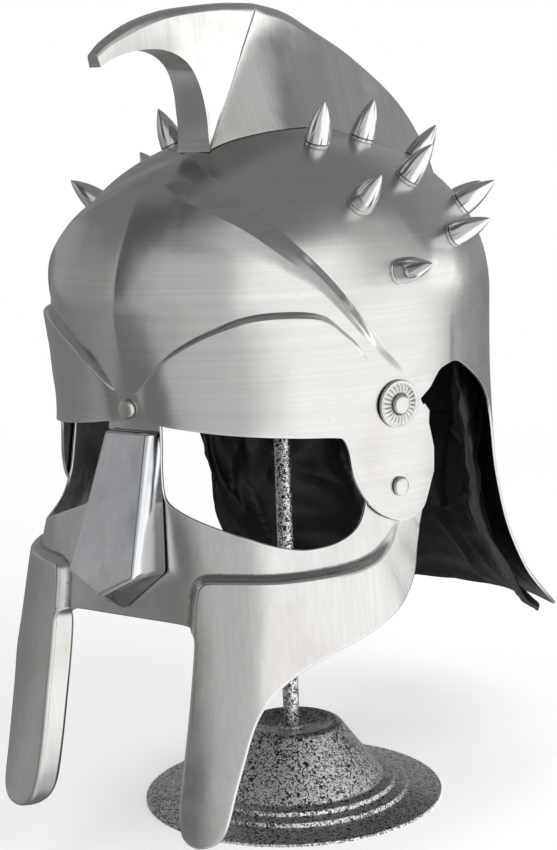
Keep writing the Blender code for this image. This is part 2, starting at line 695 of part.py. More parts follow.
def add_rosette(name, right, material):
    """A flat washer with a fluted rim."""
    count = 2 * ROSETTE_FLUTES
    rings = []
    for height, radius, depth in (
        (ROSETTE_THICKNESS, 0.70, 0.0),
        (ROSETTE_THICKNESS * 0.75, 0.90, 1.0),
        (0.0, 1.0, 1.0),
    ):
        ring = []
        for i in range(count):
            turn = 2 * math.pi * i / count
            out = ROSETTE_RADIUS * radius - FLUTE_DEPTH * depth * (i % 2)
            ring.append(Vector((out * math.cos(turn), out * math.sin(turn), height)))
        rings.append(ring)
    obj = new_piece(name, lofted(name, rings), material)
    seat(obj, ROSETTE_ANGLE, run_at(RIM_HEIGHT + ROSETTE_RISE), THIRD_LAYER + ROSETTE_SEAT, right)


def add_rivet(name, degrees, height, lift, right, material):
    """A rivet's domed head."""
    profile = [(radius * RIVET_RADIUS, rise * RIVET_RISE) for rise, radius in RIVET_PROFILE]
    obj = add_turned(name, profile, material, 14)
    seat(obj, degrees, run_at(height), lift + SEAT_GAP, right)


def add_spikes(material):
    """Rows of turned spikes on both sides of the crest."""
    profile = [(radius * SPIKE_RADIUS, height * SPIKE_LENGTH) for height, radius in SPIKE_PROFILE]
    for side in ("left", "right"):
        number = 0
        for off_crest, first, last, count in SPIKE_ROWS:
            for i in range(count):
                number += 1
                degrees, run = over_dome(off_crest, first + (last - first) * i / (count - 1))
                obj = add_turned(f"spike_{side}_{number}", profile, material, 10)
                seat(obj, degrees, run, SPIKE_SEAT, side == "right")


def add_stand(paint):
    """A pressed foot, and the rod with its boss under the foot and its pad under the crown."""
    flat = FOOT_RADIUS - FLAT_WIDTH
    profile = [
        (ROD_RADIUS + SEAT_GAP, CONE_RISE - CONE_TOP_DIP),
        (CONE_TOP_RADIUS * 0.55, CONE_RISE - CONE_TOP_DIP * 0.6),
        (CONE_TOP_RADIUS * 0.88, CONE_RISE),
        (CONE_TOP_RADIUS, CONE_RISE - 0.0015),
        (flat - 2 * STEP_WIDTH, FOOT_ROLL + 2 * STEP_RISE + 0.001),
        (flat - 1.9 * STEP_WIDTH, FOOT_ROLL + 2 * STEP_RISE),
        (flat - 1.1 * STEP_WIDTH, FOOT_ROLL + 2 * STEP_RISE - 0.0006),
        (flat - STEP_WIDTH, FOOT_ROLL + STEP_RISE),
        (flat - 0.1 * STEP_WIDTH, FOOT_ROLL + STEP_RISE - 0.0006),
        (flat, FOOT_ROLL),
        (FOOT_RADIUS, FOOT_ROLL - 0.0012),
        (FOOT_RADIUS, 0.0),
    ]
    foot = add_turned("stand_foot", profile, paint, 28)
    solid = foot.modifiers.new("wall", "SOLIDIFY")
    solid.thickness = FOOT_SHEET
    solid.offset = -1
    solid.use_even_offset = True
    pad_top = CROWN_HEIGHT - SECOND_LAYER - LINER_SLACK - LEATHER - SEAT_GAP
    boss_top = CONE_RISE - CONE_TOP_DIP - FOOT_SHEET - SEAT_GAP
    profile = [
        (0.0, pad_top),
        (PAD_RADIUS * 0.5, pad_top - PAD_CROWN * 0.25),
        (PAD_RADIUS, pad_top - PAD_CROWN),
        (PAD_RADIUS, pad_top - PAD_CROWN - PAD_THICKNESS),
        (ROD_RADIUS, pad_top - PAD_CROWN - PAD_THICKNESS),
        (ROD_RADIUS, boss_top),
        (BOSS_RADIUS, boss_top),
        (BOSS_RADIUS, 0.0),
        (0.0, 0.0),
    ]
    add_turned("stand_rod", profile, paint, 16)


def main():
    """Builds the helmet and its stand in an empty file."""
    for obj in list(bpy.data.objects):
        bpy.data.objects.remove(obj)
    steel = new_material("brushed_steel", (0.60, 0.60, 0.59), 1.0, 0.34)
    polished = new_material("polished_steel", (0.72, 0.73, 0.74), 1.0, 0.16)
    nickel = new_material("nickel", (0.66, 0.64, 0.58), 1.0, 0.3)
    leather = new_material("black_leather", (0.02, 0.02, 0.022), 0.0, 0.5)
    paint = new_material("hammered_paint", (0.25, 0.25, 0.26), 0.6, 0.4)
    add_stand(paint)
    add_sheet("bowl", BOWL_ACROSS, BOWL_ALONG, both_sides(bowl_point), STEEL, steel)
    add_sheet("brow_plate", BROW_ACROSS, BROW_ROWS[-1][0], both_sides(brow_point), STEEL, steel)
    add_sheet("face_guard", FACE_ACROSS, FACE_ROWS[-1][0], both_sides(face_point), STEEL, steel, even=False)
    columns = 2 * (BOWL_ACROSS // 2 - math.ceil(0.56 * BOWL_ACROSS / 2))
    add_sheet("neck_lining", columns, len(NECK_LINING_ROWS) - 1, both_sides(neck_lining_point, True), LEATHER, leather)
    add_sheet("head_liner", BOWL_ACROSS, len(LINER_ROWS) - 1, both_sides(liner_point), LEATHER, leather)
    add_nose_guard(polished)
    add_crest(polished)
    add_rivet("brow_rivet", 0.0, RIM_HEIGHT + BROW_RIVET_RISE, THIRD_LAYER, False, nickel)
    for side in ("left", "right"):
        right = side == "right"
        add_rivet(f"jaw_rivet_{side}", JAW_RIVET_ANGLE, RIM_HEIGHT - JAW_RIVET_DROP, THIRD_LAYER, right, nickel)
        add_rosette(f"rosette_{side}", right, nickel)
        over_rosette = THIRD_LAYER + ROSETTE_SEAT + ROSETTE_THICKNESS
        add_rivet(f"rosette_rivet_{side}", ROSETTE_ANGLE, RIM_HEIGHT + ROSETTE_RISE, over_rosette, right, nickel)
    add_spikes(polished)


main()
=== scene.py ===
"""Looks of a steel gladiator helmet on its display stand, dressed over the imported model.

Everything is in metres. The helmet faces -Y, up is +Z, and the stand's foot rests on Z = 0.
Sheet pieces are fine grids laid over one head-shaped surface, with real thickness and broken edges.
Angles run round the head from the front, 0, by the wearer's left side, 90, to the back, 180.
"""

import logging  # noqa: E402
import math  # noqa: E402
from abc import ABC, abstractmethod  # noqa: E402
from dataclasses import dataclass, field  # noqa: E402
from enum import Enum  # noqa: E402
from functools import lru_cache  # noqa: E402
from typing import Callable, Sequence  # noqa: E402

import bmesh  # noqa: E402
import bpy  # noqa: E402
import numpy as np  # noqa: E402
from mathutils import Matrix, Vector, noise  # noqa: E402
from mathutils.geometry import delaunay_2d_cdt  # noqa: E402

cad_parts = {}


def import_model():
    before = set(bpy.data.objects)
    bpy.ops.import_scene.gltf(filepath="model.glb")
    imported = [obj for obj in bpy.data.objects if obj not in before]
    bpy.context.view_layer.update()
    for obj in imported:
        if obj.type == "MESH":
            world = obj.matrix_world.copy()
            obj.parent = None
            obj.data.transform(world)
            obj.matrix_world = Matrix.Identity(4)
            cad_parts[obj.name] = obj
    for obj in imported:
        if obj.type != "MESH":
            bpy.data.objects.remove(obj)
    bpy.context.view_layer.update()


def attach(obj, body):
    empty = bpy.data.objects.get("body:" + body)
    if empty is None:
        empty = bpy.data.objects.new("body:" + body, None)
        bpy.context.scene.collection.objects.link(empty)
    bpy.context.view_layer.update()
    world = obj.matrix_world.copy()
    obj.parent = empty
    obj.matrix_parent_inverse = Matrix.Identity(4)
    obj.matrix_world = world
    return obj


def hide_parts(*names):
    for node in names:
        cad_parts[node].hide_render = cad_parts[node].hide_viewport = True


LOG = logging.getLogger("helmet")
BODY = "root"
Place = Callable[[float, float], Vector]
Rows = tuple[tuple[float, ...], ...]
Colour = tuple[float, float, float]
JOINED = 0.00002  # points nearer than this are one


class Brushing(Enum):
    """Which way the abrasive went over a steel, as how tight its lines are along X, Y and Z."""

    LEVEL = (7.0, 7.0, 620.0)
    UPRIGHT = (420.0, 420.0, 8.0)
    ACROSS = (60.0, 520.0, 10.0)
    NONE = (160.0, 160.0, 160.0)


class Held(Enum):
    """How a soft sheet is kept in place."""

    HUNG = "hung"
    STRETCHED = "stretched"


class Curve:
    """Columns of numbers read at any value of the first by a curve that doesn't overshoot."""

    def __init__(self, rows: Rows) -> None:
        """Works out the slopes once.

        Args:
            rows: The key value of each row, then its columns.
        """
        self.rows = rows
        self.slopes = [[self._slope(i, c) for c in range(1, len(rows[0]))] for i in range(len(rows))]
        self.at = lru_cache(maxsize=4096)(self._at)

    @property
    def last(self) -> float:
        """The key value of the last row."""
        return self.rows[-1][0]

    def _slope(self, row: int, column: int) -> float:
        """The slope of a column at a row, flat where the column turns back.

        Args:
            row: The row.
            column: The column.

        Returns:
            The slope.
        """
        rows = self.rows
        steps = [
            (rows[i + 1][column] - rows[i][column]) / (rows[i + 1][0] - rows[i][0])
            for i in range(max(row - 1, 0), min(row + 1, len(rows) - 1))
        ]
        if len(steps) == 1:
            return steps[0]
        if steps[0] * steps[1] <= 0:
            return 0.0
        return 2 * steps[0] * steps[1] / (steps[0] + steps[1])

    def _at(self, value: float) -> tuple[float, ...]:
        """The columns at a key value.

        Args:
            value: The key value, held inside the table.

        Returns:
            One number for each column.
        """
        rows = self.rows
        value = min(max(value, rows[0][0]), rows[-1][0])
        row = max(i for i in range(len(rows) - 1) if rows[i][0] <= value)
        low, high = rows[row], rows[row + 1]
        width = high[0] - low[0]
        share = (value - low[0]) / width
        rest = 1 - share
        return tuple(
            low[c + 1] * rest**2 * (1 + 2 * share)
            + high[c + 1] * share**2 * (3 - 2 * share)
            + width * share * rest * (rest * self.slopes[row][c] - share * self.slopes[row + 1][c])
            for c in range(len(low) - 1)
        )


def bearing(azimuth: float, elevation: float = 0.0) -> Vector:
    """The direction out from the helmet at an azimuth from its front and an elevation, in degrees."""
    a, e = math.radians(azimuth), math.radians(elevation)
    return Vector((math.sin(a) * math.cos(e), -math.cos(a) * math.cos(e), math.sin(e)))


def meshed(bm: bmesh.types.BMesh, name: str) -> bpy.types.Mesh:
    """Turns a bmesh into a mesh and frees it.

    Args:
        bm: The bmesh.
        name: The mesh's name.

    Returns:
        The mesh.
    """
    mesh = bpy.data.meshes.new(name)
    bm.to_mesh(mesh)
    bm.free()
    return mesh


def placed(name: str, data: bpy.types.ID) -> bpy.types.Object:
    """Puts a new object into the scene."""
    thing = bpy.data.objects.new(name, data)
    bpy.context.scene.collection.objects.link(thing)
    return thing


def add_face(bm: bmesh.types.BMesh, corners: Sequence[bmesh.types.BMVert]) -> None:
    """Adds a face through the corners that differ, where there are three of them."""
    kept = [corner for i, corner in enumerate(corners) if corner not in corners[:i]]
    if len(kept) > 2:
        bm.faces.new(kept)


def ease(value: float, start: float, end: float) -> float:
    """A smooth rise.

    Args:
        value: Where it is read.
        start: Up to here it is 0.
        end: From here on it is 1.

    Returns:
        The share risen.
    """
    share = min(max((value - start) / (end - start), 0.0), 1.0)
    return share * share * (3 - 2 * share)


def rounded(points: Sequence[Vector], parts: int) -> list[Vector]:
    """A chain with a round curve between each two vectors.

    Args:
        points: The vectors that it goes through.
        parts: How many steps lie between two of them.

    Returns:
        The finer chain.
    """
    chain: list[Vector] = []
    for i in range(len(points) - 1):
        start, end = points[i], points[i + 1]
        leave = (end - points[max(i - 1, 0)]) / 2
        arrive = (points[min(i + 2, len(points) - 1)] - start) / 2
        for part in range(parts):
            share = part / parts
            rest = 1 - share
            chain.append(
                start * (rest**2 * (1 + 2 * share))
                + end * (share**2 * (3 - 2 * share))
                + leave * (share * rest**2)
                - arrive * (share**2 * rest)
            )
    return chain + [points[-1]]


class Graph:
    """A node tree that is being laid out."""

    def __init__(self, tree: bpy.types.NodeTree) -> None:
        """Keeps the tree."""
        self.tree = tree

    def fill(self, node: bpy.types.Node, inputs: dict) -> None:
        """Fills a node's sockets.

        Args:
            node: The node.
            inputs: What goes into its sockets: a number, a colour or another node's output.
        """
        for name, value in inputs.items():
            if isinstance(value, bpy.types.NodeSocket):
                self.tree.links.new(value, node.inputs[name])
            else:
                node.inputs[name].default_value = value

    def add(self, kind: str, inputs: dict | None = None, **settings: object) -> bpy.types.Node:
        """Adds a node.

        Args:
            kind: Blender's name for the node.
            inputs: What goes into its sockets.
            settings: The node's own settings.

        Returns:
            The node.
        """
        node = self.tree.nodes.new(kind)
        for name, value in settings.items():
            setattr(node, name, value)
        self.fill(node, inputs or {})
        return node

    def maths(self, operation: str, first: object, second: object = 0.0) -> bpy.types.NodeSocket:
        """The result of a sum of two values."""
        return self.add("ShaderNodeMath", {0: first, 1: second}, operation=operation).outputs[0]

    def times(self, first: object, second: object) -> bpy.types.NodeSocket:
        """Two values multiplied."""
        return self.maths("MULTIPLY", first, second)

    def vectors(self, operation: str, inputs: dict) -> bpy.types.NodeSocket:
        """The result of a sum of vectors, a number where they are measured."""
        node = self.add("ShaderNodeVectorMath", inputs, operation=operation)
        return node.outputs["Value" if operation in ("LENGTH", "DOT_PRODUCT") else "Vector"]

    def effect(self, tree: bpy.types.NodeTree, **inputs: object) -> bpy.types.NodeOutputs:
        """What a node group puts out for the values given to it."""
        return self.add("ShaderNodeGroup", inputs, node_tree=tree).outputs

    def bump(self, height: object, depth: float, strength: float = 1.0, **over: object) -> bpy.types.NodeSocket:
        """The normal of a relief, over another one where its Normal is given."""
        inputs = {"Height": height, "Distance": depth, "Strength": strength, **over}
        return self.add("ShaderNodeBump", inputs).outputs[0]

    def between(
        self, value: object, low: float, high: float, start: float = 0.0, end: float = 1.0
    ) -> bpy.types.NodeSocket:
        """A value read from low to high, put out from start to end with soft ends."""
        inputs = {"Value": value, "From Min": low, "From Max": high, "To Min": start, "To Max": end}
        return self.add("ShaderNodeMapRange", inputs, interpolation_type="SMOOTHSTEP").outputs[0]

    def blend(self, share: object, first: object, second: object, way: str = "MIX") -> bpy.types.NodeSocket:
        """Two colours mixed.

        Args:
            share: How much of the second there is.
            first: The first colour.
            second: The second colour.
            way: Blender's name for the way of mixing.

        Returns:
            The mixed colour.
        """
        colours = [c if isinstance(c, bpy.types.NodeSocket) else (*c, 1) for c in (first, second)]
        inputs = {0: share, 6: colours[0], 7: colours[1]}
        return self.add("ShaderNodeMix", inputs, data_type="RGBA", blend_type=way).outputs[2]

    def cloud(self, vector: object, scale: float, detail: float = 3.0, bend: float = 0.0) -> bpy.types.NodeSocket:
        """Soft random values."""
        inputs = {"Vector": vector, "Scale": scale, "Detail": detail, "Distortion": bend}
        return self.add("ShaderNodeTexNoise", inputs).outputs["Fac"]

    def place(self) -> bpy.types.NodeSocket:
        """Where a point of the surface is, in the object's own metres."""
        return self.add("ShaderNodeTexCoord").outputs["Object"]


class Effects:
    """The shader node groups that several finishes share, each built once."""

    @staticmethod
    def _group(
        name: str, inputs: dict[str, tuple], outputs: Sequence[str]
    ) -> tuple[Graph, bpy.types.Node, bpy.types.Node]:
        """Starts a group with named sockets.

        Args:
            name: The group's name.
            inputs: Kind and first value of each input.
            outputs: The outputs, each one a number.

        Returns:
            The graph, the node whose outputs come in and the node to fill.
        """
        tree = bpy.data.node_groups.new(name, "ShaderNodeTree")
        for label, (kind, value) in inputs.items():
            tree.interface.new_socket(label, in_out="INPUT", socket_type=kind).default_value = value
        for label in outputs:
            tree.interface.new_socket(label, in_out="OUTPUT", socket_type="NodeSocketFloat")
        return Graph(tree), tree.nodes.new("NodeGroupInput"), tree.nodes.new("NodeGroupOutput")

    @classmethod
    @lru_cache(maxsize=None)
    def brushed(cls) -> bpy.types.NodeTree:
        """Fine lines of an abrasive, with duller and brighter passes among them."""
        stretch = {"Stretch": ("NodeSocketVector", Brushing.LEVEL.value)}
        graph, came, goes = cls._group("brushed_lines", stretch, ("Lines", "Passes"))
        drawn = graph.vectors("MULTIPLY", {0: graph.place(), 1: came.outputs["Stretch"]})
        fine = graph.cloud(drawn, 1.0, 4.0)
        broad = graph.cloud(graph.vectors("SCALE", {0: drawn, "Scale": 0.22}), 1.0, 2.0)
        lines = graph.times(graph.maths("ADD", fine, graph.times(broad, 0.6)), 0.625)
        passes = graph.cloud(graph.place(), 26.0, 4.0, 0.6)
        graph.fill(goes, {"Lines": lines, "Passes": graph.between(passes, 0.3, 0.7)})
        return graph.tree

    @classmethod
    @lru_cache(maxsize=None)
    def marks(cls) -> bpy.types.NodeTree:
        """Broad brown tints, finger smudges and small dark nicks."""
        # How fine, how detailed and how bent its noise is, and where the mark starts and is full
        kinds = {
            "Tint": (13.0, 3.0, 1.2, 0.47, 0.72),
            "Smudge": (70.0, 5.0, 0.8, 0.45, 0.75),
            "Nicks": (520.0, 2.0, 0.3, 0.71, 0.76),
        }
        graph, came, goes = cls._group("handled_marks", {"Scale": ("NodeSocketFloat", 1.0)}, tuple(kinds))
        scaled = graph.vectors("SCALE", {0: graph.place(), "Scale": came.outputs["Scale"]})
        for kind, (fineness, detail, bend, start, full) in kinds.items():
            cloud = graph.cloud(scaled, fineness, detail, bend)
            graph.fill(goes, {kind: graph.between(cloud, start, full)})
        return graph.tree

    @classmethod
    @lru_cache(maxsize=None)
    def edges(cls) -> bpy.types.NodeTree:
        """Masks of the edges that hands rub bright and of the hollows, which the finishes darken as painted shade."""
        graph, came, goes = cls._group("rubbed_edges_and_shaded_hollows", {"Reach": ("NodeSocketFloat", 0.06)}, ("Edge", "Hollow_shade"))
        point = graph.add("ShaderNodeNewGeometry").outputs["Pointiness"]
        away = graph.maths("SUBTRACT", point, 0.5)
        out = graph.maths("DIVIDE", away, came.outputs["Reach"])
        back = graph.times(out, -1.0)
        # The hollow mask marks concave spots, which the finishes darken as painted shade
        edge, hollow = graph.between(out, 0.25, 1.0), graph.between(back, 0.15, 1.0)
        graph.fill(goes, {"Edge": edge, "Hollow_shade": hollow})
        return graph.tree

    @classmethod
    @lru_cache(maxsize=None)
    def sway(cls) -> bpy.types.NodeTree:
        """The slight unevenness of sheet that was raised by hand, as a height."""
        graph, came, goes = cls._group("raised_sheet", {"Hammering": ("NodeSocketFloat", 0.35)}, ("Height",))
        place = graph.place()
        wide = graph.cloud(place, 16.0, 1.0, 0.4)
        small = graph.cloud(place, 58.0, 1.0, 0.2)
        both = graph.maths("ADD", wide, graph.times(small, came.outputs["Hammering"]))
        graph.fill(goes, {"Height": both})
        return graph.tree


@dataclass(frozen=True)
class Finish(ABC):
    """What a surface is made of, how it was finished, and its slot among the record's materials."""

    name: str
    slot: str = "brushed_steel"

    def material(self) -> bpy.types.Material:
        """The material, made when it is first asked for.

        Returns:
            The shared material of this name.
        """
        made = bpy.data.materials.get(self.name)
        if made is None:
            made = bpy.data.materials.new(self.name)
            made.use_nodes = True
            graph = Graph(made.node_tree)
            self.dress(graph, made.node_tree.nodes["Principled BSDF"])
        return made

    @abstractmethod
    def dress(self, graph: Graph, shader: bpy.types.Node) -> None:
        """Lays the nodes that feed the shader."""


@dataclass(frozen=True)
class Steel(Finish):
    """Bare steel, brushed or polished."""

    colour: Colour = (0.60, 0.59, 0.575)
    tinted: Colour = (0.50, 0.47, 0.43)
    tinting: float = 0.5
    roughness: float = 0.30
    brushing: Brushing = Brushing.LEVEL
    line_depth: float = 0.000008
    hammering: float = 0.35
    sway_depth: float = 0.0007
    smudging: float = 0.03
    edge_reach: float = 0.04
    # How far the lines darken and brighten the colour, and how strongly painted shade in hollows, nicks and rubbed
    # edges show
    line_shades: tuple[float, float] = (0.93, 1.045)
    hollow_shade_strength: float = 0.78
    nick_strength: float = 0.12
    edge_strength: float = 0.22
    # How much duller hollows are, and how much smoother rubbed edges
    hollow_dulling: float = 0.25
    edge_polish: float = 0.1
    # Near black of the painted shade in hollows and of the real dark nicks
    shade_and_nick_dark: Colour = (0.06, 0.055, 0.05)
    rubbed: Colour = (0.86, 0.86, 0.85)

    def dress(self, graph: Graph, shader: bpy.types.Node) -> None:
        """Tints, lines, smudges, painted shade in the hollows, dark nicks, bright edges and a slight sway."""
        brushed = graph.effect(Effects.brushed(), Stretch=self.brushing.value)
        marks = graph.effect(Effects.marks())
        edges = graph.effect(Effects.edges(), Reach=self.edge_reach)
        sway = graph.effect(Effects.sway(), Hammering=self.hammering)
        tint = graph.times(marks["Tint"], self.tinting)
        colour = graph.blend(tint, self.colour, self.tinted)
        shade = graph.between(brushed["Lines"], 0.3, 0.8, *self.line_shades)
        grey = graph.add("ShaderNodeCombineColor", {0: shade, 1: shade, 2: shade}).outputs[0]
        colour = graph.blend(1.0, colour, grey, "MULTIPLY")
        # Painted shade: concave spots go towards near black, joined by the real dark nicks
        dark = graph.times(edges["Hollow_shade"], self.hollow_shade_strength)
        dark = graph.maths("MAXIMUM", dark, graph.times(marks["Nicks"], self.nick_strength))
        colour = graph.blend(dark, colour, self.shade_and_nick_dark)
        bright = graph.times(edges["Edge"], self.edge_strength)
        colour = graph.blend(bright, colour, self.rubbed)
        rough = graph.between(brushed["Passes"], 0.0, 1.0, self.roughness * 0.88, self.roughness * 1.12)
        rough = graph.maths("ADD", rough, graph.times(marks["Smudge"], self.smudging))
        rough = graph.maths("ADD", rough, graph.times(dark, self.hollow_dulling))
        rough = graph.maths("SUBTRACT", rough, graph.times(bright, self.edge_polish))
        broad = graph.bump(sway["Height"], self.sway_depth)
        fine = graph.bump(brushed["Lines"], self.line_depth, Normal=broad)
        graph.fill(shader, {"Base Color": colour, "Roughness": rough, "Normal": fine, "Metallic": 1.0})


@dataclass(frozen=True)
class Nickel(Finish):
    """Plated fasteners with a frosted skin."""

    slot: str = "nickel"
    colour: Colour = (0.60, 0.595, 0.57)
    dull: Colour = (0.46, 0.44, 0.39)
    # Near black of the tarnish and the painted shade in the hollows
    tarnish_and_shade: Colour = (0.05, 0.048, 0.042)
    roughness: float = 0.27
    frost_depth: float = 0.00006
    frost_scale: float = 1500.0
    mark_scale: float = 3.0
    mark_strength: float = 0.45
    edge_reach: float = 0.10
    hollow_shade_strength: float = 0.75

    def dress(self, graph: Graph, shader: bpy.types.Node) -> None:
        """A grainy plating, its hollows darkened with tarnish and painted shade."""
        marks = graph.effect(Effects.marks(), Scale=self.mark_scale)
        edges = graph.effect(Effects.edges(), Reach=self.edge_reach)
        grain = graph.cloud(graph.place(), self.frost_scale, 3.0)
        handled = graph.times(marks["Smudge"], self.mark_strength)
        colour = graph.blend(handled, self.colour, self.dull)
        # Tarnish and painted shade: concave spots go towards near black
        dark = graph.times(edges["Hollow_shade"], self.hollow_shade_strength)
        colour = graph.blend(dark, colour, self.tarnish_and_shade)
        rough = graph.between(grain, 0.3, 0.7, self.roughness * 0.8, self.roughness * 1.3)
        bump = graph.bump(grain, self.frost_depth, 0.8)
        graph.fill(shader, {"Base Color": colour, "Roughness": rough, "Normal": bump, "Metallic": 1.0})


@dataclass(frozen=True)
class HammeredPaint(Finish):
    """Silver paint that drew back into specks over black."""

    slot: str = "hammered_paint"
    silver: Colour = (0.80, 0.81, 0.82)
    black: Colour = (0.006, 0.006, 0.007)
    speck_scale: float = 640.0
    cover: float = 0.492
    edge_softness: float = 0.035
    speck_depth: float = 0.0006
    patch_scale: float = 30.0
    patchiness: float = 0.07
    rubbed: Colour = (0.5, 0.5, 0.5)
    wear: float = 0.4
    metal: float = 0.9
    black_roughness: float = 0.22
    silver_roughness: float = 0.34

    def dress(self, graph: Graph, shader: bpy.types.Node) -> None:
        """Wandering specks, raised where the silver stands."""
        place = graph.place()
        flow = graph.cloud(place, self.speck_scale, 1.5, 1.6)
        patch = graph.maths("SUBTRACT", graph.cloud(place, self.patch_scale, 2.0), 0.5)
        level = graph.maths("ADD", flow, graph.times(patch, self.patchiness))
        silver = graph.between(level, self.cover - self.edge_softness, self.cover + self.edge_softness)
        edges = graph.effect(Effects.edges())
        worn = graph.times(edges["Edge"], self.wear)
        colour = graph.blend(silver, self.black, self.silver)
        colour = graph.blend(worn, colour, self.rubbed)
        metal = graph.times(silver, self.metal)
        rough = graph.between(silver, 0.0, 1.0, self.black_roughness, self.silver_roughness)
        bump = graph.bump(level, self.speck_depth, 0.7)
        graph.fill(shader, {"Base Color": colour, "Metallic": metal, "Roughness": rough, "Normal": bump})
        graph.fill(shader, {"Coat Weight": 0.6, "Coat Roughness": 0.12})


@dataclass(frozen=True)
class Leather(Finish):
    """Soft black leather with a fine pebble."""

    slot: str = "leather"
    colour: Colour = (0.002, 0.0021, 0.0023)
    roughness: float = 0.36
    handled: Colour = (0.008, 0.008, 0.008)
    dusty: Colour = (0.02, 0.0195, 0.019)
    edge_rub: float = 0.5
    worn_patches: float = 0.25
    dust: float = 0.12
    pebble_scale: float = 900.0
    pebble_share: float = 0.25
    crease_scale: float = 110.0
    patch_scale: float = 24.0
    grain_depth: float = 0.00045

    def dress(self, graph: Graph, shader: bpy.types.Node) -> None:
        """Pebbles, small creases and a paler rub where it is handled."""
        place = graph.place()
        bent = graph.vectors("MULTIPLY", {0: place, 1: (1.0, 1.0, 0.8)})
        sized = {"Vector": bent, "Scale": self.pebble_scale}
        cells = graph.add("ShaderNodeTexVoronoi", sized, feature="DISTANCE_TO_EDGE")
        pebble = graph.between(cells.outputs["Distance"], 0.0, 0.22)
        crease = graph.cloud(place, self.crease_scale, 5.0, 1.4)
        soft = graph.cloud(place, self.patch_scale, 3.0, 0.6)
        marks = graph.effect(Effects.marks())
        edges = graph.effect(Effects.edges())
        at_edges = graph.times(edges["Edge"], self.edge_rub)
        rubbed = graph.maths("ADD", at_edges, graph.times(soft, self.worn_patches))
        colour = graph.blend(rubbed, self.colour, self.handled)
        colour = graph.blend(graph.times(marks["Smudge"], self.dust), colour, self.dusty)
        rough = graph.between(crease, 0.3, 0.7, self.roughness * 0.85, self.roughness * 1.3)
        height = graph.maths("ADD", graph.times(pebble, self.pebble_share), crease)
        bump = graph.bump(height, self.grain_depth, 0.55)
        graph.fill(shader, {"Base Color": colour, "Roughness": rough, "Normal": bump})
        graph.fill(shader, {"Specular IOR Level": 0.26, "Sheen Weight": 0.04, "Sheen Roughness": 0.4})


@dataclass(frozen=True)
class PaleFloor(Finish):
    """The studio's plain floor."""

    colour: Colour = (0.88, 0.88, 0.88)
    patched: Colour = (0.84, 0.84, 0.84)
    fade: tuple[float, float] = (0.35, 1.3)
    lift: float = 0.42
    # As the steel mirrors it: away from and towards one azimuth, then a bright and a dark stretch round two others
    mirror_azimuth: float = 50.0
    mirrored: tuple[float, float] = (0.24, 0.74)
    bright_azimuth: float = 92.0
    bright_reach: tuple[float, float] = (34.0, 60.0)
    brightest: float = 1.5
    dark_azimuth: float = -26.0
    dark_reach: tuple[float, float] = (8.0, 26.0)
    darkest: float = 0.22

    def dress(self, graph: Graph, shader: bpy.types.Node) -> None:
        """Matt near the object and even light further out, and in reflections brighter and darker by direction."""
        place = graph.place()
        out = graph.vectors("LENGTH", {0: place})
        far = graph.between(out, *self.fade)
        grain = graph.cloud(place, 9.0, 2.0)
        colour = graph.blend(graph.times(grain, 0.03), self.colour, self.patched)
        graph.fill(shader, {"Base Color": colour, "Roughness": 0.7, "Specular IOR Level": 0.1})
        path = graph.add("ShaderNodeLightPath")
        lift = graph.times(path.outputs["Is Camera Ray"], self.lift)
        graph.fill(shader, {"Emission Color": (1, 1, 1, 1), "Emission Strength": lift})
        even = graph.add("ShaderNodeEmission", {"Color": (1, 1, 1, 1), "Strength": 1.0})
        seen = graph.add("ShaderNodeMixShader", {0: far, 1: shader.outputs[0], 2: even.outputs[0]})
        unit = graph.vectors("NORMALIZE", {0: place})
        facing = graph.vectors("DOT_PRODUCT", {0: unit, 1: bearing(self.mirror_azimuth)})
        level = graph.between(facing, -1.0, 1.0, *self.mirrored)
        for azimuth, reach, brightness in (
            (self.bright_azimuth, self.bright_reach, self.brightest),
            (self.dark_azimuth, self.dark_reach, self.darkest),
        ):
            full, faded = (math.cos(math.radians(degrees)) for degrees in reach)
            facing = graph.vectors("DOT_PRODUCT", {0: unit, 1: bearing(azimuth)})
            near = graph.between(facing, faded, full)
            change = graph.times(near, graph.maths("SUBTRACT", brightness, level))
            level = graph.maths("ADD", level, change)
        shine = graph.add("ShaderNodeEmission", {"Color": (1, 1, 1, 1), "Strength": level})
        glossy = path.outputs["Is Glossy Ray"]
        mixed = graph.add("ShaderNodeMixShader", {0: glossy, 1: seen.outputs[0], 2: shine.outputs[0]})
        graph.fill(graph.tree.nodes["Material Output"], {"Surface": mixed.outputs[0]})


@dataclass(frozen=True)
class Finishes:
    """Every finish of the helmet and its stand."""

    bowl: Steel = Steel("bowl_steel", tinting=0.55, roughness=0.26)
    brow: Steel = Steel("brow_steel", tinting=0.60, roughness=0.23)
    face: Steel = Steel("face_steel", brushing=Brushing.UPRIGHT, tinting=0.40, roughness=0.25)
    crest: Steel = Steel("crest_steel", "polished_steel", brushing=Brushing.ACROSS, tinting=0.35, roughness=0.19)
    nose: Steel = Steel(
        "nose_steel", "polished_steel", colour=(0.60, 0.62, 0.645), brushing=Brushing.UPRIGHT, tinting=0.1,
        roughness=0.2,
    )
    spike: Steel = Steel(
        "spike_steel", "polished_steel", colour=(0.68, 0.68, 0.68), brushing=Brushing.NONE, tinting=0.1,
        roughness=0.13, sway_depth=0.0001,
    )
    inside: Steel = Steel(
        "inner_steel", colour=(0.20, 0.195, 0.19), tinted=(0.12, 0.10, 0.085), tinting=0.8, roughness=0.42, smudging=0.2
    )
    nickel: Nickel = Nickel("frosted_nickel")
    leather: Leather = Leather("soft_black_leather")
    paint: HammeredPaint = HammeredPaint("specked_hammer_paint")
    floor: PaleFloor = PaleFloor("pale_floor")


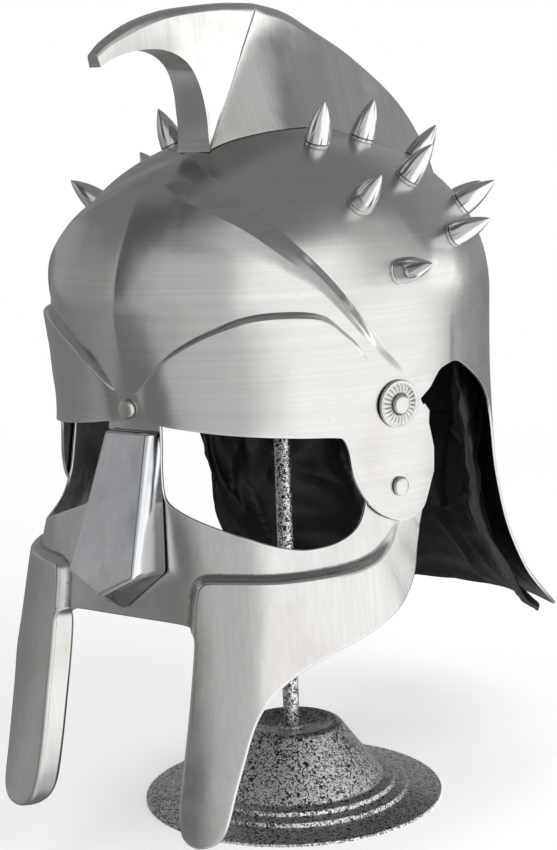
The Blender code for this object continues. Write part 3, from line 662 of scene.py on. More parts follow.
@dataclass(frozen=True)
class HeadForm:
    """The head-shaped surface that every sheet of the helmet follows."""

    tip_clearance: float = 0.030
    cheek_drop: float = 0.192
    widest_rise: float = 0.046
    dome_rise: float = 0.088
    dome_roundness: float = 2.15
    half_width: float = 0.104
    front_reach: float = 0.124
    back_reach: float = 0.127
    neck_drop: float = 0.144
    steel: float = 0.0015
    seat_gap: float = 0.0004
    brow_seat_gap: float = 0.0007
    # Degrees round and metres down between the points that a normal is read from
    probe: tuple[float, float] = (0.1, 0.0005)
    # Depth as a share of face_depth, half width, reach, squareness
    face_rings: Curve = Curve((
        (0.00, 1.000, 1.000, 2.0),
        (0.08, 1.000, 0.985, 2.0),
        (0.14, 0.994, 0.967, 2.0),
        (0.20, 0.982, 0.957, 2.05),
        (0.33, 0.965, 0.985, 2.3),
        (0.50, 0.950, 1.030, 3.0),
        (0.66, 0.940, 1.073, 3.6),
        (0.83, 0.945, 1.135, 4.3),
        (1.00, 0.955, 1.215, 5.0),
    ))
    # Depth as a share of neck_depth, half width, reach
    neck_rings: Curve = Curve((
        (0.00, 1.000, 1.000),
        (0.175, 0.994, 1.000),
        (0.43, 1.012, 1.008),
        (0.62, 1.045, 1.080),
        (0.81, 1.135, 1.225),
        (1.00, 1.320, 1.500),
    ))

    @property
    def rim_height(self) -> float:
        """Height of the brow's lower edge."""
        return self.tip_clearance + self.cheek_drop

    @property
    def widest_height(self) -> float:
        """Height of the widest level."""
        return self.rim_height + self.widest_rise

    @property
    def crown_height(self) -> float:
        """Height of the crown."""
        return self.widest_height + self.dome_rise

    @property
    def dome_run(self) -> float:
        """Run of sheet from the crown down to the widest level."""
        return math.pi / 4 * (self.half_width + self.dome_rise)

    @property
    def second_layer(self) -> float:
        """Lift of the outer face of a sheet that lies on the bowl."""
        return self.seat_gap + self.steel

    @property
    def third_layer(self) -> float:
        """Lift of the outer face of the brow plate where it lies on the face guard."""
        return 2 * self.second_layer + self.brow_seat_gap

    def _ring_point(self, degrees: float, half_width: float, reach: float, squareness: float, height: float) -> Vector:
        """A point of a level ring round the head.

        Args:
            degrees: The angle from the front.
            half_width: The ring's half width.
            reach: Its reach to the front or the back.
            squareness: The power of its curve, 2 for an ellipse.
            height: Its height.

        Returns:
            The point.
        """
        side, fore = math.sin(math.radians(degrees)), math.cos(math.radians(degrees))
        radius = ((abs(side) / half_width) ** squareness + (abs(fore) / reach) ** squareness) ** (-1 / squareness)
        return Vector((radius * side, -radius * fore, height))

    def skin(self, degrees: float, run: float) -> Vector:
        """A point of the head surface.

        Args:
            degrees: The angle from the front.
            run: The run of sheet down from the crown.

        Returns:
            The point.
        """
        reach = self.back_reach if degrees > 90 else self.front_reach
        depth = run - self.dome_run
        if depth <= 0:
            tilt = math.pi / 2 * min(max(-depth / self.dome_run, 0.0), 1.0)
            out = max(math.cos(tilt), 1e-9) ** (2 / self.dome_roundness)
            height = self.widest_height + self.dome_rise * math.sin(tilt) ** (2 / self.dome_roundness)
            return self._ring_point(degrees, self.half_width * out, reach * out, 2.0, height)
        if degrees > 90:
            width_share, reach_share = self.neck_rings.at(depth / (self.widest_rise + self.neck_drop))
            squareness = 2.0
        else:
            width_share, reach_share, squareness = self.face_rings.at(depth / (self.widest_rise + self.cheek_drop))
        height = self.widest_height - depth
        return self._ring_point(degrees, self.half_width * width_share, reach * reach_share, squareness, height)

    def normal(self, degrees: float, run: float) -> Vector:
        """The outward normal of the head surface.

        Args:
            degrees: The angle from the front.
            run: The run of sheet down from the crown.

        Returns:
            The normal.
        """
        turn, step = self.probe
        if run < 2 * step:
            return Vector((0, 0, 1))
        start = 0.0 if degrees < turn else degrees - turn
        around = self.skin(start + turn, run) - self.skin(start, run)
        down = self.skin(degrees, run + step) - self.skin(degrees, run - step)
        return down.cross(around).normalized()

    def lifted(self, degrees: float, run: float, lift: float) -> Vector:
        """A point off the head surface by a lift along its normal."""
        return self.skin(degrees, run) + self.normal(degrees, run) * lift

    def run_at(self, height: float) -> float:
        """The run of sheet from the crown down to a height.

        Args:
            height: The height.

        Returns:
            The run.
        """
        if height <= self.widest_height:
            return self.dome_run + self.widest_height - height
        rise = min((height - self.widest_height) / self.dome_rise, 1.0)
        return self.dome_run * (1 - 2 / math.pi * math.asin(rise ** (self.dome_roundness / 2)))

    def over_dome(self, off_crest: float, back_angle: float) -> tuple[float, float]:
        """A place on the dome.

        Args:
            off_crest: Its angle off the crest.
            back_angle: Its angle back from the crown.

        Returns:
            Its angle round the head and its run.
        """
        side = math.sin(math.radians(off_crest))
        back = math.cos(math.radians(off_crest)) * math.sin(math.radians(back_angle))
        up = math.cos(math.radians(off_crest)) * math.cos(math.radians(back_angle))
        half = self.dome_roundness / 2
        tilt = math.atan2(max(up, 0.0) ** half, math.hypot(side, back) ** half)
        return math.degrees(math.atan2(side, -back)), self.dome_run * (1 - 2 * tilt / math.pi)

    def over_middle(self, back_angle: float, lift: float) -> Vector:
        """A place over the middle line.

        Args:
            back_angle: Its angle back from the crown.
            lift: How far it is off the surface.

        Returns:
            The place.
        """
        if abs(back_angle) <= 90:
            degrees, run = self.over_dome(0.0, back_angle)
        else:
            degrees, run = 180.0, self.dome_run * back_angle / 90
        point = self.lifted(degrees, run, lift)
        return Vector((0, point.y, point.z))

    def fullness(self, point: Vector) -> float:
        """How far out a point is as a share of the surface.

        Args:
            point: The point.

        Returns:
            The share, 1 on the surface.
        """
        reach = self.back_reach if point.y > 0 else self.front_reach
        rise = point.z - self.widest_height
        if rise >= 0:
            out = math.hypot(point.x / self.half_width, point.y / reach)
            power = self.dome_roundness
            return (out**power + (rise / self.dome_rise) ** power) ** (1 / power)
        width_share, reach_share = self.neck_rings.at(-rise / (self.widest_rise + self.neck_drop))
        return math.hypot(point.x / (self.half_width * width_share), point.y / (reach * reach_share))

    def gap(self, point: Vector) -> float:
        """About how far a point stands off the surface.

        Args:
            point: The point.

        Returns:
            The distance, negative inside the surface.
        """
        step = 0.0001
        here = self.fullness(point)
        axes = ((1, 0, 0), (0, 1, 0), (0, 0, 1))
        rise = Vector([self.fullness(point + Vector(axis) * step) - here for axis in axes])
        return (here - 1) * step / max(rise.length, 1e-12)

    def seat(self, piece: bpy.types.Object, degrees: float, run: float, lift: float, right: bool) -> None:
        """Stands a piece on the surface along its normal.

        Args:
            piece: The piece.
            degrees: The angle from the front.
            run: The run of sheet down from the crown.
            lift: How far it stands off the surface.
            right: Whether it is on the wearer's right.
        """
        normal, point = self.normal(degrees, run), self.lifted(degrees, run, lift)
        if right:
            point.x, normal.x = -point.x, -normal.x
        piece.matrix_world = Matrix.Translation(point) @ normal.to_track_quat("Z", "Y").to_matrix().to_4x4()


def both_sides(point_at: Place, turned_back: bool = False) -> Place:
    """A placing function over both sides of the head.

    Args:
        point_at: Reads a station and a height up the grid.
        turned_back: Whether station 0 is at the back.

    Returns:
        A function of the share across and the share up.
    """

    def place(u: float, v: float) -> Vector:
        station = abs(2 * u - 1)
        right = u > 0.5 if turned_back else u < 0.5
        point = point_at(1 - station if turned_back else station, v)
        return Vector((-point.x, point.y, point.z)) if right else point

    return place


@dataclass
class SubAssembly(ABC):
    """A group of pieces that are made together."""

    form: HeadForm
    finishes: Finishes
    made: list[bpy.types.Object] = field(default_factory=list)

    @abstractmethod
    def build(self) -> None:
        """Makes the pieces."""

    def piece(
        self, name: str, mesh: bpy.types.Mesh, finishes: Sequence[Finish], stands_for: Sequence[str]
    ) -> bpy.types.Object:
        """Makes an object of the helmet.

        Args:
            name: Its name.
            mesh: Its mesh.
            finishes: Its finishes, the outer one first.
            stands_for: The CAD nodes that it replaces.

        Returns:
            The object.
        """
        piece = placed(name, mesh)
        for finish in finishes:
            mesh.materials.append(finish.material())
        if stands_for:
            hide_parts(*stands_for)
        self.made.append(piece)
        return piece

    def ride(self) -> None:
        """Settles the finished pieces on the body and reports them."""
        for piece in self.made:
            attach(piece, BODY)
            LOG.info("%s: %s", type(self).__name__, piece.name)

    @staticmethod
    def smooth(piece: bpy.types.Object, sharp_degrees: float = 34.0) -> None:
        """Smooth shading that keeps the real edges."""
        piece.data.shade_smooth()
        piece.data.set_sharp_from_angle(angle=math.radians(sharp_degrees))

    @staticmethod
    def soften(piece: bpy.types.Object, width: float, segments: int = 2, degrees: float = 50.0) -> None:
        """Breaks the sharp edges.

        Args:
            piece: The piece.
            width: How far they are broken.
            segments: Faces across a broken edge.
            degrees: The least bend that counts as an edge.
        """
        bevel = piece.modifiers.new("broken_edges", "BEVEL")
        bevel.width = width
        bevel.segments = segments
        bevel.limit_method = "ANGLE"
        bevel.angle_limit = math.radians(degrees)
        bevel.harden_normals = True

    @staticmethod
    def grid(name: str, across: int, along: int, place: Place) -> bpy.types.Mesh:
        """A grid mesh moved onto a surface, its coinciding points joined.

        Args:
            name: The mesh's name.
            across: Faces across.
            along: Faces up.
            place: The surface.

        Returns:
            The mesh.
        """
        bm = bmesh.new()
        bmesh.ops.create_grid(bm, x_segments=across, y_segments=along, size=0.5)
        for vert in bm.verts:
            vert.co = place(round((vert.co.x + 0.5) * across) / across, round((vert.co.y + 0.5) * along) / along)
        bmesh.ops.remove_doubles(bm, verts=bm.verts, dist=JOINED)
        return meshed(bm, name)

    @staticmethod
    def thicken(piece: bpy.types.Object, wall: float, inner_slot: int, even: bool = False) -> None:
        """Gives a sheet its thickness, inward.

        Args:
            piece: The piece.
            wall: Its thickness.
            inner_slot: The material slot of its inside.
            even: Whether the thickness is kept at bends.
        """
        solid = piece.modifiers.new("wall", "SOLIDIFY")
        solid.thickness = wall
        solid.offset = -1
        solid.use_even_offset = even
        solid.material_offset = inner_slot

    def formed(
        self,
        mesh: bpy.types.Mesh,
        wall: float,
        finishes: Sequence[Finish],
        stands_for: Sequence[str],
        edge: float = 0.0004,
    ) -> bpy.types.Object:
        """A formed sheet with thickness inward and broken edges.

        Args:
            mesh: Its outer face, which names the piece.
            wall: Its thickness.
            finishes: The outer finish, and the inner one if there are two.
            stands_for: The CAD nodes that it replaces.
            edge: How far its edges are broken, 0 to leave them as cut.

        Returns:
            The piece.
        """
        piece = self.piece(mesh.name, mesh, finishes, stands_for)
        self.thicken(piece, wall, len(finishes) - 1)
        self.smooth(piece)
        if edge:
            self.soften(piece, edge)
        return piece

    def turned(
        self,
        name: str,
        profile: Sequence[tuple[float, float]],
        sides: int,
        finish: Finish,
        stands_for: Sequence[str],
        dip: Callable[[int, float], float] | None = None,
        sharp_degrees: float = 34.0,
    ) -> bpy.types.Object:
        """A turned piece.

        Args:
            name: Its name.
            profile: Radius and height, top to bottom on the outside.
            sides: How many sides it has.
            finish: Its finish.
            stands_for: The CAD nodes that it replaces.
            dip: How far it is sunk at a row of the profile and a turn, if it isn't round.
            sharp_degrees: The least bend that stays sharp.

        Returns:
            The piece.
        """
        bm = bmesh.new()
        rings: list[list[bmesh.types.BMVert]] = []
        for row, (radius, height) in enumerate(profile):
            ring = []
            for i in range(sides if radius > 1e-6 else 1):
                turn = 2 * math.pi * i / sides
                level = height - dip(row, turn) if dip else height
                ring.append(bm.verts.new((radius * math.cos(turn), radius * math.sin(turn), level)))
            rings.append(ring)
        for upper, lower in zip(rings, rings[1:]):
            for i in range(sides):
                j = (i + 1) % sides
                across = (upper[i % len(upper)], lower[i % len(lower)], lower[j % len(lower)], upper[j % len(upper)])
                add_face(bm, across)
        bmesh.ops.recalc_face_normals(bm, faces=bm.faces)
        piece = self.piece(name, meshed(bm, name), [finish], stands_for)
        self.smooth(piece, sharp_degrees)
        return piece


@dataclass
class Bowl(SubAssembly):
    """The raised bowl with its neck guard."""

    across: int = 260
    along: int = 90
    # Station from front to back, angle, drop below the brow as a share of the neck's drop
    rim: Curve = Curve((
        (0.00, 0.0, 0.00),
        (0.26, 72.0, 0.00),
        (0.33, 79.5, -0.04),
        (0.38, 85.0, -0.105),
        (0.43, 92.0, -0.12),
        (0.49, 104.0, -0.06),
        (0.55, 120.0, 0.07),
        (0.60, 127.5, 0.22),
        (0.66, 132.0, 0.43),
        (0.71, 135.0, 0.62),
        (0.76, 140.0, 0.81),
        (0.81, 148.5, 0.965),
        (0.86, 158.0, 1.00),
        (1.00, 180.0, 1.00),
    ))

    def point(self, station: float, v: float, lift: float = 0.0) -> Vector:
        """A point of the bowl.

        Args:
            station: From front, 0, to back, 1.
            v: From the rim, 0, to the crown, 1.
            lift: How far it is off the surface.

        Returns:
            The point.
        """
        degrees, drop = self.rim.at(station)
        run = self.form.run_at(self.form.rim_height - drop * self.form.neck_drop)
        return self.form.lifted(degrees, run * (1 - v), lift)

    def build(self) -> None:
        """Makes the bowl."""
        mesh = self.grid("bowl_shell", self.across, self.along, both_sides(self.point))
        self.formed(mesh, self.form.steel, [self.finishes.bowl, self.finishes.inside], ["bowl"])


@dataclass
class BrowPlate(SubAssembly):
    """The plate over the brow, with its eyebrows, border and keel."""

    across: int = 264
    along: int = 110
    rise: float = 0.120
    lappet_drop: float = 0.054
    eyebrow_height: float = 0.0038
    border_height: float = 0.0030
    keel_height: float = 0.0030
    keel_spread: float = 13.0
    seat_start: float = 0.012
    seat_end: float = 0.030
    standoff: float = 0.0014
    # Station, upper angle and rise, lower angle and drop, where the eyebrow and the border cross, how full each stands
    edges: Curve = Curve((
        (0.00, 0.0, 1.000, 0.0, 0.00, 0.10, 0.87, 0.00, 1.00),
        (0.03, 2.5, 0.998, 2.5, 0.01, 0.12, 0.87, 0.00, 1.00),
        (0.07, 5.6, 0.988, 5.6, 0.02, 0.18, 0.87, 0.50, 1.00),
        (0.15, 12.0, 0.950, 12.0, 0.06, 0.31, 0.86, 1.00, 1.00),
        (0.30, 26.0, 0.850, 26.0, 0.13, 0.50, 0.86, 1.00, 1.00),
        (0.42, 36.5, 0.720, 38.5, 0.17, 0.62, 0.86, 1.00, 1.00),
        (0.52, 45.0, 0.590, 49.0, 0.20, 0.71, 0.87, 0.95, 0.95),
        (0.57, 50.0, 0.500, 50.6, 0.30, 0.75, 0.88, 0.85, 0.90),
        (0.64, 55.5, 0.390, 51.5, 0.52, 0.80, 0.90, 0.30, 0.60),
        (0.71, 60.5, 0.290, 54.5, 0.76, 0.80, 0.91, 0.00, 0.00),
        (0.79, 66.0, 0.190, 60.0, 0.93, 0.75, 0.92, 0.00, 0.00),
        (0.87, 71.5, 0.080, 66.5, 1.00, 0.70, 0.92, 0.00, 0.00),
        (0.94, 76.0, -0.045, 73.5, 0.94, 0.66, 0.92, 0.00, 0.00),
        (1.00, 79.0, -0.180, 79.0, 0.62, 0.60, 0.92, 0.00, 0.00),
    ))
    # Row, shares of the way to the eyebrow, on to the border and on to the edge, then both swellings
    rows: Curve = Curve((
        (0, 0.00, 0.00, 0.00, 0.25, 0.00),
        (2, 0.55, 0.00, 0.00, 0.60, 0.00),
        (4, 0.94, 0.00, 0.00, 1.00, 0.00),
        (5, 1.00, 0.00, 0.00, 0.00, 0.00),
        (7, 1.00, 0.72, 0.00, 0.00, 0.25),
        (8, 1.00, 1.00, 0.00, 0.00, 1.00),
        (10, 1.00, 1.00, 1.00, 0.00, 0.00),
    ))

    def point(self, station: float, v: float) -> Vector:
        """A point of the plate's outer face.

        Args:
            station: From the middle, 0, to the lappet's rear, 1.
            v: From the lower edge, 0, to the upper edge, 1.

        Returns:
            The point.
        """
        form = self.form
        top_angle, top_rise, low_angle, low_drop, eyebrow, border, eyebrow_stand, border_stand = self.edges.at(station)
        to_eyebrow, to_border, to_edge, arched, bordered = self.rows.at(v * self.rows.last)
        share = eyebrow * to_eyebrow + (border - eyebrow) * to_border + (1 - border) * to_edge
        degrees = low_angle + (top_angle - low_angle) * share
        low, top = form.rim_height - low_drop * self.lappet_drop, form.rim_height + top_rise * self.rise
        height = low + (top - low) * share
        over = height - form.rim_height
        close = ease(over, self.seat_start, self.seat_end)
        lift = form.third_layer
        lift += (form.second_layer + self.standoff * (1 - ease(share, 0.9, 1.0)) - form.third_layer) * close
        lift += self.eyebrow_height * eyebrow_stand * arched + self.border_height * border_stand * bordered
        keel = ease(over, self.seat_start, 2 * self.seat_end) * (1 - ease(share, 0.85, 1.0))
        lift += self.keel_height * keel * max(1 - degrees / self.keel_spread, 0.0) ** 1.5
        return form.lifted(degrees, form.run_at(height), lift)

    def build(self) -> None:
        """Makes the plate."""
        mesh = self.grid("brow_shell", self.across, self.along, both_sides(self.point))
        self.formed(mesh, self.form.steel, [self.finishes.brow, self.finishes.inside], ["brow_plate"])


@dataclass
class FaceGuard(SubAssembly):
    """The guard below the eyes, with its raised cheek panels and turned hem."""

    eye_height: float = 0.060
    cheek_raise: float = 0.0050
    crease_width: float = 0.0046
    hem_depth: float = 0.013
    fold_radius: float = 0.0022
    degree_width: float = 0.00195
    spacing: float = 0.00125
    edge_steps: int = 900
    low_easing: int = 14
    high_easing: int = 6
    # Where rows run beside the crease and along the outline, as shares of the crease's width and of the spacing
    crease_rows: tuple[float, ...] = (-0.15, 0.0, 0.2, 0.4, 0.6, 0.8, 1.0, 1.15)
    crease_clear: tuple[float, float] = (-0.35, 1.35)
    outline_row: float = 0.6
    outline_clear: float = 1.15
    # Faces round the hem's bend and down its depth, and the step that finds its direction
    bend_steps: int = 5
    deep_steps: int = 6
    probe: float = 0.0004
    # Station, upper angle and drop, lower angle and drop, hem's turn
    edges: Curve = Curve((
        (0.00, 0.0, -0.17, 0.0, 0.484, 0.0),
        (0.10, 5.5, -0.17, 8.0, 0.484, 0.0),
        (0.13, 7.4, -0.05, 9.5, 0.484, 0.0),
        (0.17, 7.8, 0.30, 11.5, 0.485, 0.0),
        (0.21, 9.0, 0.60, 15.0, 0.487, 0.2),
        (0.25, 13.0, 0.70, 17.7, 0.500, 0.9),
        (0.30, 17.0, 0.76, 17.0, 0.680, 1.0),
        (0.36, 22.0, 0.82, 15.8, 0.920, 1.0),
        (0.40, 25.5, 0.865, 17.4, 0.990, 0.6),
        (0.43, 28.0, 0.89, 20.5, 1.000, 0.0),
        (0.46, 31.0, 0.93, 24.0, 0.975, 0.0),
        (0.51, 35.5, 0.975, 26.6, 0.840, 0.0),
        (0.56, 40.0, 1.00, 29.8, 0.690, 0.0),
        (0.61, 44.5, 0.99, 35.5, 0.605, 0.0),
        (0.67, 49.0, 0.95, 43.5, 0.560, 0.0),
        (0.73, 53.0, 0.86, 53.0, 0.530, 0.0),
        (0.79, 55.5, 0.68, 63.0, 0.490, 0.0),
        (0.85, 56.5, 0.40, 69.5, 0.430, 0.0),
        (0.90, 58.0, 0.12, 72.5, 0.350, 0.0),
        (0.94, 62.0, 0.02, 75.5, 0.270, 0.0),
        (0.97, 68.0, 0.00, 78.0, 0.200, 0.0),
        (1.00, 77.0, 0.00, 79.0, 0.020, 0.0),
    ))
    # Crease round the cheek panel, from beside the bar's tip to the temple: angle, drop, how full the panel stands
    crease: Rows = (
        (11.5, 1.10, 1.0), (11.8, 0.80, 1.0), (12.4, 0.62, 1.0), (14.9, 0.535, 1.0), (15.8, 0.490, 1.0),
        (15.9, 0.430, 1.0), (16.4, 0.385, 1.0), (18.6, 0.362, 1.0), (24.0, 0.360, 1.0), (34.0, 0.363, 1.0),
        (43.0, 0.360, 1.0), (50.0, 0.356, 1.0), (55.0, 0.346, 0.85), (59.5, 0.322, 0.50), (63.5, 0.280, 0.15),
        (67.0, 0.235, 0.00), (84.0, 0.120, 0.00),
    )

    def _flat(self, degrees: float, drop: float) -> tuple[float, float]:
        """A place on the sheet laid flat, from its angle and its drop below the brow as a share of the cheek's."""
        return degrees * self.degree_width, self.form.rim_height - drop * self.form.cheek_drop

    def _chain(self, points: Sequence[Sequence[float]], spacing: float) -> np.ndarray:
        """A chain of points at even steps, its further columns read along with it.

        Args:
            points: The points laid flat, with any further columns.
            spacing: The length of a step.

        Returns:
            The new points.
        """
        rows = np.array(points, float)
        steps = np.hypot(*np.diff(rows[:, :2], axis=0).T)
        run = np.concatenate([[0.0], np.cumsum(steps)])
        count = max(round(run[-1] / spacing), 1)
        at = np.linspace(0.0, run[-1], count + 1)
        return np.column_stack([np.interp(at, run, rows[:, c]) for c in range(rows.shape[1])])

    def _outline(self) -> tuple[np.ndarray, np.ndarray]:
        """The left half's outline laid flat, anticlockwise from the lower edge's middle.

        Returns:
            Its points, and for the lower edge's points the turn of the hem.
        """
        low, high = [], []
        for i in range(self.edge_steps + 1):
            top_angle, top_drop, low_angle, low_drop, turn = self.edges.at(i / self.edge_steps)
            low.append((*self._flat(low_angle, low_drop), turn))
            high.append((top_angle * self.degree_width, self.form.rim_height - top_drop * self.eye_height))
        low_chain = self._relaxed(self._chain(low, self.spacing), self.low_easing)
        high_chain = self._relaxed(self._chain(high, self.spacing), self.high_easing)[::-1]
        along = np.gradient(low_chain[:, :2], axis=0)
        along /= np.hypot(along[:, 0], along[:, 1])[:, None]
        outward = np.column_stack([along[:, 1], -along[:, 0]])
        low_chain[:, :2] -= outward * (self.fold_radius * low_chain[:, 2])[:, None]
        rear = self._chain([low_chain[-1, :2], high_chain[0]], self.spacing)[1:-1]
        middle = self._chain([high_chain[-1], low_chain[0, :2]], self.spacing)[1:-1]
        return np.vstack([low_chain[:, :2], rear, high_chain, middle]), low_chain[:, 2]

    def _beside(self, places: np.ndarray, chain: np.ndarray) -> tuple[np.ndarray, np.ndarray]:
        """Where places lie beside a chain.

        Args:
            places: The places laid flat.
            chain: The chain's points with a third column.

        Returns:
            How far each place is to the chain's right, and the third column there.
        """
        start, step = chain[:-1], np.diff(chain, axis=0)
        size = (step[:, :2] ** 2).sum(1)
        away = places[:, None, :] - start[None, :, :2]
        share = np.clip((away * step[None, :, :2]).sum(2) / size, 0, 1)
        rest = away - share[..., None] * step[None, :, :2]
        distance = np.hypot(rest[..., 0], rest[..., 1])
        near = distance.argmin(1)
        rows = np.arange(len(places))
        side = step[near, 1] * away[rows, near, 0] - step[near, 0] * away[rows, near, 1]
        third = start[near, 2] + share[rows, near] * step[near, 2]
        return np.where(side >= 0, 1.0, -1.0) * distance[rows, near], third

    def _inside(self, outline: np.ndarray, crease: np.ndarray) -> np.ndarray:
        """Places inside the outline: rows beside the crease, one row along the outline and an even field elsewhere.

        Args:
            outline: The outline laid flat.
            crease: The crease laid flat.

        Returns:
            The places.
        """
        along = np.gradient(crease[:, :2], axis=0)
        along /= np.hypot(along[:, 0], along[:, 1])[:, None]
        right = np.column_stack([along[:, 1], -along[:, 0]])
        rows = [crease[:, :2] + right * self.crease_width * share for share in self.crease_rows]
        corner, far = outline.min(0), outline.max(0)
        xs = np.arange(corner[0], far[0], self.spacing)
        ys = np.arange(corner[1], far[1], self.spacing * 0.9)
        field_x, field_y = np.meshgrid(xs, ys)
        field_x = field_x + (np.arange(len(ys)) % 2)[:, None] * self.spacing / 2
        even = np.column_stack([field_x.ravel(), field_y.ravel()])
        beside, _ = self._beside(even, crease)
        low, high = (share * self.crease_width for share in self.crease_clear)
        even = even[(beside < low) | (beside > high)]
        places = np.vstack([*rows, even])
        closed = np.column_stack([np.vstack([outline, outline[:1]]), np.zeros(len(outline) + 1)])
        beside, _ = self._beside(places, closed)
        places = places[beside < -self.outline_clear * self.spacing]
        along = np.roll(outline, -1, axis=0) - np.roll(outline, 1, axis=0)
        along /= np.hypot(along[:, 0], along[:, 1])[:, None]
        inset = outline - np.column_stack([along[:, 1], -along[:, 0]]) * self.spacing * self.outline_row
        beside, _ = self._beside(inset, closed)
        places = np.vstack([places, inset[beside < -0.5 * self.spacing]])
        turns = np.zeros(len(places), bool)
        for (ax, ay), (bx, by) in zip(outline, np.roll(outline, -1, axis=0)):
            between = (ay > places[:, 1]) != (by > places[:, 1])
            with np.errstate(divide="ignore", invalid="ignore"):
                turns ^= between & (places[:, 0] < (bx - ax) * (places[:, 1] - ay) / (by - ay) + ax)
        return places[turns]

    def _raised(self, places: np.ndarray, crease: np.ndarray) -> list[float]:
        """How far the sheet is raised.

        Args:
            places: The places laid flat.
            crease: The crease laid flat.

        Returns:
            The lift of the outer face at each place.
        """
        beside, full = self._beside(places, crease)
        return [
            self.form.second_layer + self.cheek_raise * stand * ease(away, 0.0, self.crease_width)
            for away, stand in zip(beside, full)
        ]

    def _on_head(self, place: Sequence[float], lift: float) -> Vector:
        """A place of the flat sheet on the head."""
        return self.form.lifted(max(place[0], 0.0) / self.degree_width, self.form.run_at(place[1]), lift)

    def build(self) -> None:
        """Makes the guard."""
        outline, turns = self._outline()
        bends = [(*self._flat(degrees, drop), stand) for degrees, drop, stand in self.crease]
        crease = self._relaxed(self._chain(bends, self.spacing), self.high_easing)
        places = np.vstack([outline, self._inside(outline, crease)])
        flat = [Vector(place) for place in places.tolist()]
        kept = [(i, (i + 1) % len(outline)) for i in range(len(outline))]
        corners, _, faces, _, _, _ = delaunay_2d_cdt(flat, kept, [], 1, 1e-7)
        lifts = self._raised(np.array([tuple(corner) for corner in corners]), crease)
        bm = bmesh.new()
        for sign in (1, -1):
            verts = []
            for corner, lift in zip(corners, lifts):
                point = self._on_head(corner, lift)
                verts.append(bm.verts.new((sign * point.x if corner.x > 1e-6 else 0.0, point.y, point.z)))
            for face in faces:
                bm.faces.new([verts[i] for i in (face if sign > 0 else reversed(face))])
            self._turn_hem(bm, verts, outline, turns, lifts, sign)
        bmesh.ops.remove_doubles(bm, verts=bm.verts, dist=JOINED)
        finishes = [self.finishes.face, self.finishes.inside]
        self.formed(meshed(bm, "face_shell"), self.form.steel, finishes, ["face_guard"], 0.0)

    @staticmethod
    def _relaxed(chain: np.ndarray, times: int) -> np.ndarray:
        """A chain with its bends eased.

        Args:
            chain: The chain's points.
            times: How often each point moves towards its neighbours.

        Returns:
            The eased points.
        """
        for _ in range(times):
            chain = np.vstack([chain[:1], (chain[:-2] + 2 * chain[1:-1] + chain[2:]) / 4, chain[-1:]])
        return chain

    def _turn_hem(
        self,
        bm: bmesh.types.BMesh,
        verts: list[bmesh.types.BMVert],
        outline: np.ndarray,
        turns: np.ndarray,
        lifts: Sequence[float],
        sign: int,
    ) -> None:
        """Turns the lower edge in, round a small bend.

        Args:
            bm: The sheet being made.
            verts: Its points, the outline's first.
            outline: The outline laid flat.
            turns: The turn of the hem at the outline's first points.
            lifts: The lift at each point.
            sign: 1 on the wearer's left and -1 on the right.
        """
        rows: list[list[bmesh.types.BMVert]] = []
        for i, turn in enumerate(turns):
            if turn < 0.02:
                rows.append([verts[i]])
                continue
            along = outline[i + 1] - outline[i - 1]
            along /= np.hypot(*along)
            outward = np.array([along[1], -along[0]])
            here = self._on_head(outline[i], lifts[i])
            out = (self._on_head(outline[i] + outward * self.probe, lifts[i]) - here).normalized()
            inward = -self.form.normal(outline[i][0] / self.degree_width, self.form.run_at(outline[i][1]))
            radius, depth = self.fold_radius * turn, self.hem_depth * turn
            turned = []
            for step in range(1, self.bend_steps + 1):
                angle = math.pi / 2 * step / self.bend_steps
                turned.append(here + out * radius * math.sin(angle) + inward * radius * (1 - math.cos(angle)))
            for step in range(1, self.deep_steps + 1):
                deep = radius + (depth - radius) * step / self.deep_steps
                turned.append(here + out * radius + inward * deep)
            rows.append([verts[i]] + [bm.verts.new((sign * point.x, point.y, point.z)) for point in turned])
        for first, second in zip(rows, rows[1:]):
            for j in range(max(len(first), len(second)) - 1):
                corners = [first[min(j, len(first) - 1)], first[min(j + 1, len(first) - 1)]]
                corners += [second[min(j + 1, len(second) - 1)], second[min(j, len(second) - 1)]]
                add_face(bm, corners if sign > 0 else corners[::-1])


